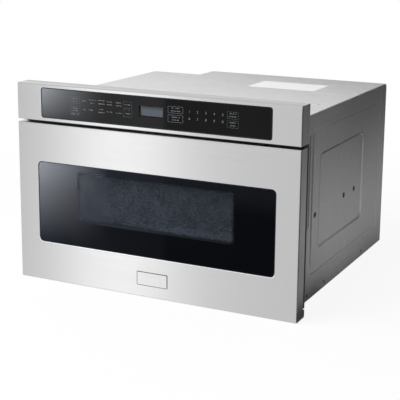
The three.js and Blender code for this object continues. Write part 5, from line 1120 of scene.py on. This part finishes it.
@dataclass
class ControlPanel(GlassPanel):
    """The black control glass with its print, in the fascia."""

    half: float = 246.6
    low: float = 336.4
    high: float = 396.3
    corner: float = 5.0
    corner_steps: int = 6
    rim: float = 1.0
    print_rise: float = 0.03
    digit_size: float = 6.6
    digit_places: tuple[float, ...] = (80.9, 97.5, 114.5, 131.5, 148.6)
    digit_rows: tuple[tuple[str, float], ...] = (("12345", 374.5), ("67890", 361.4))
    boxes: tuple[Ramp, ...] = (
        (-177.9, -157.1, 371.2, 383.7), (-177.9, -157.1, 352.1, 364.6),
        (-60.0, -41.4, 370.2, 382.6), (-60.0, -41.4, 353.5, 367.1),
        (157.8, 179.6, 368.6, 381.1), (157.8, 179.6, 352.3, 364.9))
    lined_boxes: tuple[Ramp, ...] = ((36.3, 67.3, 369.5, 381.8), (36.3, 67.3, 352.3, 365.5))
    box_corner: float = 0.7
    box_dots: Flat = (0.9, 0.26)  # their spacing and radius
    line_dots: Flat = (0.45, 0.27)
    bars: tuple[tuple[float, float, float], ...] = (
        (-167.5, 379.8, 13), (-167.5, 374.8, 10), (-167.5, 361.0, 11), (-167.5, 356.4, 13),
        (-168.2, 349.3, 17),
        (-147.5, 376.9, 9), (-147.5, 359.7, 8), (-128.6, 379.8, 17), (-128.6, 373.9, 13),
        (-131.8, 360.3, 10), (-108.3, 380.4, 14), (-108.3, 374.0, 15), (-108.3, 363.0, 11),
        (-108.3, 357.3, 14), (-90.6, 379.4, 13), (-90.6, 373.9, 11), (-90.6, 359.9, 12),
        (-70.6, 379.0, 13), (-70.6, 373.4, 12), (-70.6, 359.3, 13), (-50.7, 377.0, 12),
        (-50.7, 359.9, 11), (51.9, 378.6, 16), (51.9, 373.3, 20), (51.9, 361.6, 18),
        (51.9, 356.6, 14), (168.7, 377.9, 12), (168.7, 372.7, 14), (168.7, 361.5, 12),
        (168.7, 356.1, 10))
    bar_height: float = 2.0
    tick_pitch: float = 1.25
    tick_width: float = 0.8
    tick_corner: float = 0.2
    tick_gap: float = 0.16
    tick_rise: Flat = (0.62, 0.38)  # the least share of a bar's height, and what chance adds
    seed: int = 7

    def outlines(self, name: str, boxes: Sequence[Ramp], dots: Flat) -> None:
        """Print key outlines as dotted lines.

        Args:
            name: The piece's name.
            boxes: The left, right, lower and upper edge of each key.
            dots: The dots' spacing and radius.
        """
        level = self.front - self.print_rise
        loops = []
        for left, right, low, high in boxes:
            box = rounded(right - left, high - low, self.box_corner,
                          ((left + right) / 2, (low + high) / 2), 3)
            loops.append([(x, level, z) for x, z in box])
        made = dots_tree().run(path_mesh(name, loops), PRINT, Spacing=dots[0] * MM, Dot=dots[1] * MM)
        fit_out(name, made, PRINT, Body.CABINET, Slot.WHITE_PLASTIC)

    def ticks(self) -> None:
        """Print rows of uneven ticks in place of words."""
        marks = Mould()
        chance = Random(self.seed)
        for x, z, length in self.bars:
            count = round(length / self.tick_pitch)
            for i in range(count):
                if chance.random() < self.tick_gap:
                    continue
                middle = x + (i - (count - 1) / 2) * self.tick_pitch
                rise = self.bar_height * (self.tick_rise[0] + self.tick_rise[1] * chance.random())
                outline = rounded(self.tick_width, rise, self.tick_corner, (middle, z), 1)
                marks.slab([(outline, self.front - self.print_rise), (outline, self.front)])
        marks.fit("key_ticks", PRINT, Body.CABINET, Slot.WHITE_PLASTIC)

    def digits(self) -> None:
        """Print the ten digits."""
        shape = bmesh.new()
        level = self.front - self.print_rise / 2 + FRONT_Y
        for row, z in self.digit_rows:
            for digit, x in zip(row, self.digit_places):
                curve = bpy.data.curves.new(f"digit_{digit}", "FONT")
                curve.body, curve.size = digit, self.digit_size * MM
                curve.align_x, curve.align_y = "CENTER", "CENTER"
                curve.extrude = self.print_rise / 2 * MM
                word = bpy.data.objects.new(curve.name, curve)
                flat = bpy.data.meshes.new_from_object(word)
                flat.transform(Matrix.Translation((x * MM, level * MM, z * MM))
                               @ Matrix.Rotation(math.pi / 2, 4, "X"))
                shape.from_mesh(flat)
                bpy.data.objects.remove(word)
                bpy.data.meshes.remove(flat)
        mesh = bpy.data.meshes.new("key_digits")
        shape.to_mesh(mesh)
        shape.free()
        fit_out("key_digits", mesh, PRINT, Body.CABINET, Slot.WHITE_PLASTIC)

    def build(self) -> None:
        """Build the whole control panel."""
        self.glass("control_glass", CONTROL_GLASS, Body.CABINET)
        self.outlines("key_outlines", self.boxes, self.box_dots)
        self.outlines("key_lines", self.lined_boxes, self.line_dots)
        self.ticks()
        self.digits()


@dataclass
class DrawerWindow(GlassPanel):
    """The window in the drawer front: glass, painted-highlight edge bead and perforated screen."""

    half: float = 257.1
    low: float = 81.7
    high: float = 247.3
    corner: float = 9.0
    corner_steps: int = 8
    rim: float = 0.8
    bead: float = 0.8
    bead_depth: float = 0.1
    field_width: float = 337.0
    field_low: float = 128.3
    field_high: float = 229.3
    field_corner: float = 2.0
    field_lap: float = 0.6
    screen_half: float = 180.5
    screen_low: float = 116.3
    screen_high: float = 241.3
    screen_corner: float = 3.0
    screen_front: float = 9.8
    screen_back: float = 10.6
    border_lap: float = 0.1
    pitch: float = 3.2
    hole: float = 1.12

    @property
    def row(self) -> float:
        """The height of one row of the screen's holes."""
        return self.pitch * math.sqrt(3) / 2

    def edge_bead(self) -> None:
        """Run the rolled edge under the glass and round its lower corners only, as a painted highlight.
        """
        lower = self.outline(-self.bead)[2 * (self.corner_steps + 1):]
        path = [(x, self.front + self.bead_depth, z) for x, z in lower]
        lay_bead("window_edge_bead", path, self.bead, HIGHLIGHT_STEEL, Body.DRAWER, Slot.STAINLESS_SKIN,
                 closed=False)

    def cell(self) -> Mesh:
        """Build one cell of the screen: an oblong of sheet with an eight-sided hole.

        Returns:
            Its mesh, in metres round the origin.
        """
        edge = [(1, 0), (1, 1), (0, 1), (-1, 1), (-1, 0), (-1, -1), (0, -1), (1, -1)]
        half = (self.screen_back - self.screen_front) / 2
        points: list[Point] = []
        for level in (-half, half):
            points += [(x * self.pitch / 2, level, z * self.row / 2) for x, z in edge]
            points += [(x, level, z) for x, z in ring(self.hole, 8)]
        faces = []
        for i in range(8):
            j = (i + 1) % 8
            faces += [(i, j, j + 8, i + 8), (j + 16, i + 16, i + 24, j + 24),
                      (i + 8, j + 8, j + 24, i + 24)]
        mesh = bpy.data.meshes.new("screen_cell")
        mesh.from_pydata([(x * MM, y * MM, z * MM) for x, y, z in points], [], faces)
        return mesh

    def screen(self) -> None:
        """Repeat the cells over the field and frame them with the screen's plain border."""
        columns = round(self.field_width / self.pitch)
        rows = round((self.field_high - self.field_low) / self.row)
        depth = (self.screen_front + self.screen_back) / 2 + FRONT_Y
        middle = (0.0, (self.field_low + self.field_high) / 2)
        made = staggered_tree().run(
            self.cell(), SCREEN_PAINT, Columns=columns, Rows=rows, Pitch=self.pitch * MM,
            Row_Pitch=self.row * MM, Centre=(0.0, depth * MM, middle[1] * MM))
        fit_out("perforated_field", made, SCREEN_PAINT, Body.DRAWER, Slot.SCREEN_METAL,
                ["window_screen"])
        inner = rounded(columns * self.pitch - self.field_lap, rows * self.row - self.field_lap,
                        self.field_corner, middle, 4)
        outer = rounded(2 * self.screen_half, self.screen_high - self.screen_low,
                        self.screen_corner, (0.0, (self.screen_low + self.screen_high) / 2), 4)
        front, back = self.screen_front - self.border_lap, self.screen_back + self.border_lap
        border = Mould().slab([(outer, front), (outer, back), (inner, back), (inner, front)],
                              hoop=True)
        border.fit("screen_border", SCREEN_PAINT, Body.DRAWER, Slot.SCREEN_METAL)

    def build(self) -> None:
        """Build the whole window."""
        self.glass("window_glass", WINDOW_GLASS, Body.DRAWER)
        self.edge_bead()
        self.screen()


@dataclass
class FrontPlate:
    """The bare plate on the drawer front, under the window."""

    centre: Flat = (2.2, 38.2)
    width: float = 65.7
    height: float = 26.3
    proud: float = 0.7
    corner: float = 1.2
    bevel: float = 0.4
    bevel_depth: float = 0.3
    rim: float = 0.75
    rim_depth: float = 0.25

    def build(self) -> None:
        """Build the plate and the darker rim round it."""
        edge = rounded(self.width, self.height, self.corner, self.centre, 3)
        face = rounded(self.width - 2 * self.bevel, self.height - 2 * self.bevel,
                       self.corner - self.bevel, self.centre, 3)
        shape = Mould().slab([(face, -self.proud), (edge, self.bevel_depth - self.proud), (edge, 0.0)])
        shape.fit("front_plate", PLATE_STEEL, Body.DRAWER, Slot.STAINLESS_SKIN)
        rim = [(x, self.rim_depth - self.proud, z) for x, z in edge]
        lay_bead("front_plate_rim", rim, self.rim, PLATE_RIM, Body.DRAWER, Slot.STAINLESS_SKIN)


@dataclass
class CabinetTrim:
    """What is fixed to the outside of the cabinet: screws and the blank label."""

    side: float = 275.9
    back: float = 592.5
    top: float = 367.8
    side_places: tuple[Flat, ...] = ((119.4, 13.8), (216.6, 14.3), (450.7, 15.0))
    back_places: tuple[Flat, ...] = ((262, 14), (262, 120), (262, 250), (262, 352), (60, 356),
                                     (-80, 356), (-80, 14), (90, 14))
    hole_radius: float = 4.4
    hole_height: float = 168.5
    hole_places: tuple[Flat, ...] = ((148.0, 276.2), (325.0, 273.5), (390.0, 273.5))
    plug: tuple[Flat, ...] = ((0.0, 0.0), (0.0, 1.2), (1.3, 1.21), (1.2, 1.6), (0.0, 1.8))
    label_low: Flat = (22.4, 396.0)
    label_high: Flat = (176.0, 491.0)
    label_corner: float = 2.0
    label_rise: float = 0.15

    def screws(self) -> None:
        """Set the screws of the sides and the back."""
        places = [((sign * self.side, y, z), (sign, 0, 0)) for y, z in self.side_places
                  for sign in (1, -1)]
        places += [((x, self.back, z), (0, 1, 0)) for x, z in self.back_places]
        made = set_copies("cabinet_screws", Screw().form(), places, SCREW_STEEL)
        fit_out("cabinet_screws", made, SCREW_STEEL, Body.CABINET, Slot.ZINC_STEEL)

    def plugs(self) -> None:
        """Close the side holes with black plugs, each turned from pairs past the hole's radius."""
        profile = [(self.hole_radius + past, height) for past, height in self.plug]
        shape = Mould()
        for y, inner in self.hole_places:
            for sign in (1, -1):
                shape.turned(profile, (sign * inner, y, self.hole_height), (sign, 0, 0))
        shape.fit("side_plugs", BLACK_PLASTIC, Body.CABINET, Slot.BLACK_PLASTIC)

    def label(self) -> None:
        """Lay the blank label on the top."""
        (left, near), (right, far) = self.label_low, self.label_high
        outline = rounded(right - left, far - near, self.label_corner,
                          ((left + right) / 2, (near + far) / 2), 4)
        shape = Mould().slab([(outline, self.top), (outline, self.top + self.label_rise)], Axis.Z)
        shape.fit("blank_label", LABEL_PAPER, Body.CABINET, Slot.WHITE_PLASTIC)

    def build(self) -> None:
        """Build the outside trim."""
        self.screws()
        self.plugs()
        self.label()


# ---- Studio ----
def upright(start: Flat, end: Flat, low: float, high: float) -> tuple[Point, ...]:
    """Return the corners of an upright card that stands from one spot on the floor to another."""
    return ((*start, low), (*end, low), (*end, high), (*start, high))


def lying(level: float, *spots: Flat) -> tuple[Point, ...]:
    """Return the corners of a card that lies at a level."""
    return tuple((x, y, level) for x, y in spots)


@dataclass(frozen=True)
class Card:
    """A card whose glow changes along an axis, in one way in front of a turn and another behind."""

    name: str
    corners: tuple[Point, ...]
    turn: Flat  # where along y the front part gives way to the rear part
    front: Ramp
    rear: Ramp
    axis: Axis = Axis.Z


@dataclass(frozen=True)
class Sheen:
    """A card of light that only one glass reflects."""

    glass: str
    middle: Point
    size: Flat
    power: float
    foot: float  # the share of its light that is left at its lower edge
    bend: Flat  # how sharply it fades to the right and down


TOP_FALL = (-0.5, 0.15, 0.82, 0.48)
EVEN_CARDS = (  # the name, the corners and the glow of each
    ("strip_card", upright((-1.28, -1.97), (-0.93, -2.08), -1.6, 0.85), 2.2),
    ("dim_card", upright((-2.4, -1.6), (-1.36, -1.95), -1.6, 2.4), 0.88),
    ("fore_card", upright((0.42, -0.6), (0.45, 0.0), 0.0, 1.6), 0.03),
)
CARDS = (
    Card("side_card", upright((0.45, 0.0), (0.62, 3.4), 0.0, 1.6), (0.14, 0.17),
         (0.08, 0.36, 0.43, 0.24), (0.01, 0.25, 0.32, 0.025)),
    # painted shadow: a dark sheet on the floor beside the right side that only reflections see, darkest
    # next to the side
    Card("floor_card", lying(0.0004, (0.305, -0.6), (0.62, -0.6), (0.62, 3.4), (0.40, 3.4),
                             (0.278, 0.31), (0.2, 0.29), (0.2, -0.245), (0.305, -0.245)),
         (-0.1, 0.02), (0.328, 0.366, 0.04, 0.36), (0.28, 0.40, 0.10, 0.29), Axis.X),
    Card("back_card", upright((-0.6, 0.38), (0.27, 0.38), 0.3, 0.52), (0.0, 0.1), TOP_FALL,
         TOP_FALL, Axis.X),
)
SHEENS = (
    Sheen("control_glass_panel", (-0.3075, -0.50, 0.3275), (0.185, 0.075), power=1.65, foot=0.2,
          bend=(1.75, 1.0)),
    Sheen("window_glass_panel", (-0.3075, -0.50, 0.1025), (0.185, 0.205), power=19.5, foot=0.0,
          bend=(1.25, 1.4)),
)


@dataclass
class Studio:
    """The camera, the plain light and the pale floor."""

    eye: Point = (0.9634, -2.0366, 0.7059)
    yaw: float = 26.3
    pitch: float = 12.2
    roll: float = 0.5
    sensor: float = 36.0
    lens: float = 96.768
    rise: float = -0.10
    ambient: float = 0.42
    key_eye: Point = (-0.9, -1.3, 2.4)
    key_target: Point = (0.0, 0.0, 0.2)
    key_size: Flat = (1.6, 1.6)
    key_power: float = 58.0
    sheen_colour: Colour = (0.89, 0.935, 1.0)
    floor_half: float = 9.0
    floor_grey: Colour = (0.45, 0.45, 0.45)
    floor_pale: Colour = (0.93, 0.93, 0.93)
    floor_glow: Ramp = (0.5, 1.5, 0.9, 1.0)  # from near the object to far from it

    def camera(self) -> None:
        """Stand the camera where the photograph was taken from."""
        view = bpy.data.cameras.new("camera")
        view.sensor_width, view.lens, view.shift_y = self.sensor, self.lens, self.rise
        stand = bpy.data.objects.new("camera", view)
        turn = (Matrix.Rotation(math.radians(self.yaw), 4, "Z")
                @ Matrix.Rotation(math.radians(90 - self.pitch), 4, "X")
                @ Matrix.Rotation(math.radians(self.roll), 4, "Z"))
        stand.matrix_world = Matrix.Translation(self.eye) @ turn
        bpy.context.scene.collection.objects.link(stand)
        bpy.context.scene.camera = stand

    def world(self) -> None:
        """Show white to the camera, to metal and to glass, and softer light to the rest."""
        world = bpy.data.worlds.new("studio")
        world.use_nodes = True
        bpy.context.scene.world = world
        bench = Bench(world.node_tree)
        strength = bench.span(bench.seen(), 0.0, 1.0, self.ambient, 1.0)
        bench.feed(world.node_tree.nodes["Background"],
                   {"Color": (1.0, 1.0, 1.0, 1.0), "Strength": strength})

    def light(self, name: str, eye: Point, target: Point, size: Flat, power: float) -> bpy.types.Object:
        """Hang one soft rectangular light.

        Args:
            name: The light's name.
            eye: Where it hangs, in metres.
            target: The point that it faces.
            size: Its width and height in metres.
            power: Its power in watts.

        Returns:
            The light's object.
        """
        lamp = bpy.data.lights.new(name, "AREA")
        lamp.shape, lamp.size, lamp.size_y, lamp.energy = "RECTANGLE", size[0], size[1], power
        hung = bpy.data.objects.new(name, lamp)
        aim = (Vector(target) - Vector(eye)).to_track_quat("-Z", "Y").to_matrix().to_4x4()
        hung.matrix_world = Matrix.Translation(eye) @ aim
        hung.visible_camera = False
        bpy.context.scene.collection.objects.link(hung)
        return hung

    def card(self, name: str, corners: Sequence[Point]) -> tuple[Bench, Node]:
        """Stand a card that only reflections show.

        Args:
            name: The card's name.
            corners: Its corners in metres.

        Returns:
            Its material's bench, and the node that makes its glow.
        """
        material = bpy.data.materials.new(name)
        material.use_nodes = True
        material.cycles.emission_sampling = "NONE"
        bench = Bench(material.node_tree)
        shine = bench.add("ShaderNodeEmission")
        bench.feed(material.node_tree.nodes["Material Output"], {"Surface": shine.outputs[0]})
        mesh = bpy.data.meshes.new(name)
        mesh.from_pydata(corners, [], [range(len(corners))])
        mesh.materials.append(material)
        card = bpy.data.objects.new(name, mesh)
        bpy.context.scene.collection.objects.link(card)
        card.visible_camera = card.visible_diffuse = card.visible_shadow = False
        card.visible_transmission = False
        return bench, shine

    def cards(self) -> None:
        """Stand the even cards, and then those whose glow changes."""
        for name, corners, glow in EVEN_CARDS:
            bench, shine = self.card(name, corners)
            bench.feed(shine, {"Strength": glow})
        for card in CARDS:
            bench, shine = self.card(card.name, card.corners)
            place = bench.split(bench.place())
            front, rear = (bench.span(place[card.axis.value], *ramp) for ramp in (card.front, card.rear))
            share = bench.span(place[1], *card.turn, 0.0, 1.0)
            glow = bench.weighed(front, bench.maths("SUBTRACT", 1.0, share), rear, share)
            bench.feed(shine, {"Strength": glow})

    def reflection(self, sheen: Sheen) -> None:
        """Hang a card of light that only one glass reflects, fading right and down.

        Args:
            sheen: The card's place, size and light, and its glass.
        """
        x, y, z = sheen.middle
        card = self.light(f"{sheen.glass}_card", sheen.middle, (x, y + 1.0, z), sheen.size, sheen.power)
        only = bpy.data.collections.new(f"{sheen.glass}_only")
        only.objects.link(bpy.data.objects[sheen.glass])
        card.light_linking.receiver_collection = only
        lamp = card.data
        lamp.color = self.sheen_colour
        lamp.use_nodes = True
        bench = Bench(lamp.node_tree)
        right, up, _ = bench.split(bench.add("ShaderNodeNewGeometry").outputs["Parametric"])
        fade = bench.maths("POWER", bench.maths("SUBTRACT", 1.0, right), sheen.bend[0])
        fall = bench.maths("POWER", bench.span(up, 0.0, 1.0, sheen.foot, 1.0), sheen.bend[1])
        bench.feed(lamp.node_tree.nodes["Emission"], {"Strength": bench.times(fade, fall)})

    def floor(self) -> None:
        """Lay the pale floor that keeps the object's shadow."""
        mesh = bpy.data.meshes.new("floor")
        half = self.floor_half
        mesh.from_pydata([(-half, -half, 0), (half, -half, 0), (half, half, 0), (-half, half, 0)], [],
                         [(0, 1, 2, 3)])
        floor = bpy.data.objects.new("floor", mesh)
        bpy.context.scene.collection.objects.link(floor)
        material = bpy.data.materials.new("pale_floor")
        material.use_nodes = True
        bench = Bench(material.node_tree)
        seen = bench.seen()
        colour = bench.blend(seen, self.floor_grey, self.floor_pale)
        diffuse = bench.add("ShaderNodeBsdfDiffuse", {"Color": colour})
        glow = bench.add("ShaderNodeEmission", {"Color": (1.0, 1.0, 1.0, 1.0)})
        away = bench.vector("LENGTH", bench.place()).outputs["Value"]
        plain = bench.times(seen, bench.span(away, *self.floor_glow))
        mixed = bench.add("ShaderNodeMixShader", {0: plain, 1: diffuse.outputs[0], 2: glow.outputs[0]})
        bench.feed(material.node_tree.nodes["Material Output"], {"Surface": mixed.outputs[0]})
        mesh.materials.append(material)
        floor.visible_glossy = False

    def build(self) -> None:
        """Set up the studio."""
        bpy.context.scene.view_settings.view_transform = "Standard"
        self.camera()
        self.world()
        key = self.light("key", self.key_eye, self.key_target, self.key_size, self.key_power)
        key.visible_glossy = False
        self.floor()
        self.cards()


def dress_nodes() -> None:
    """Give every carried-over CAD node its finish."""
    for name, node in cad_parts.items():
        finish = NODE_FINISHES.get(name)
        if finish is None:
            continue
        if not node.material_slots:
            node.data.materials.append(None)
        for slot in node.material_slots:
            slot.material = finish.material()
        LOG.info("%s: %s", name, finish.name)


def main() -> None:
    """Build every sub-assembly in order."""
    logging.basicConfig(level=logging.INFO, format="%(name)s: %(message)s")
    studio = Studio()
    studio.build()
    dress_nodes()
    for assembly in (ControlPanel(), DrawerWindow(), FrontPlate(), CabinetTrim()):
        assembly.build()
    for sheen in SHEENS:
        studio.reflection(sheen)


if __name__ == "__main__":
    main()
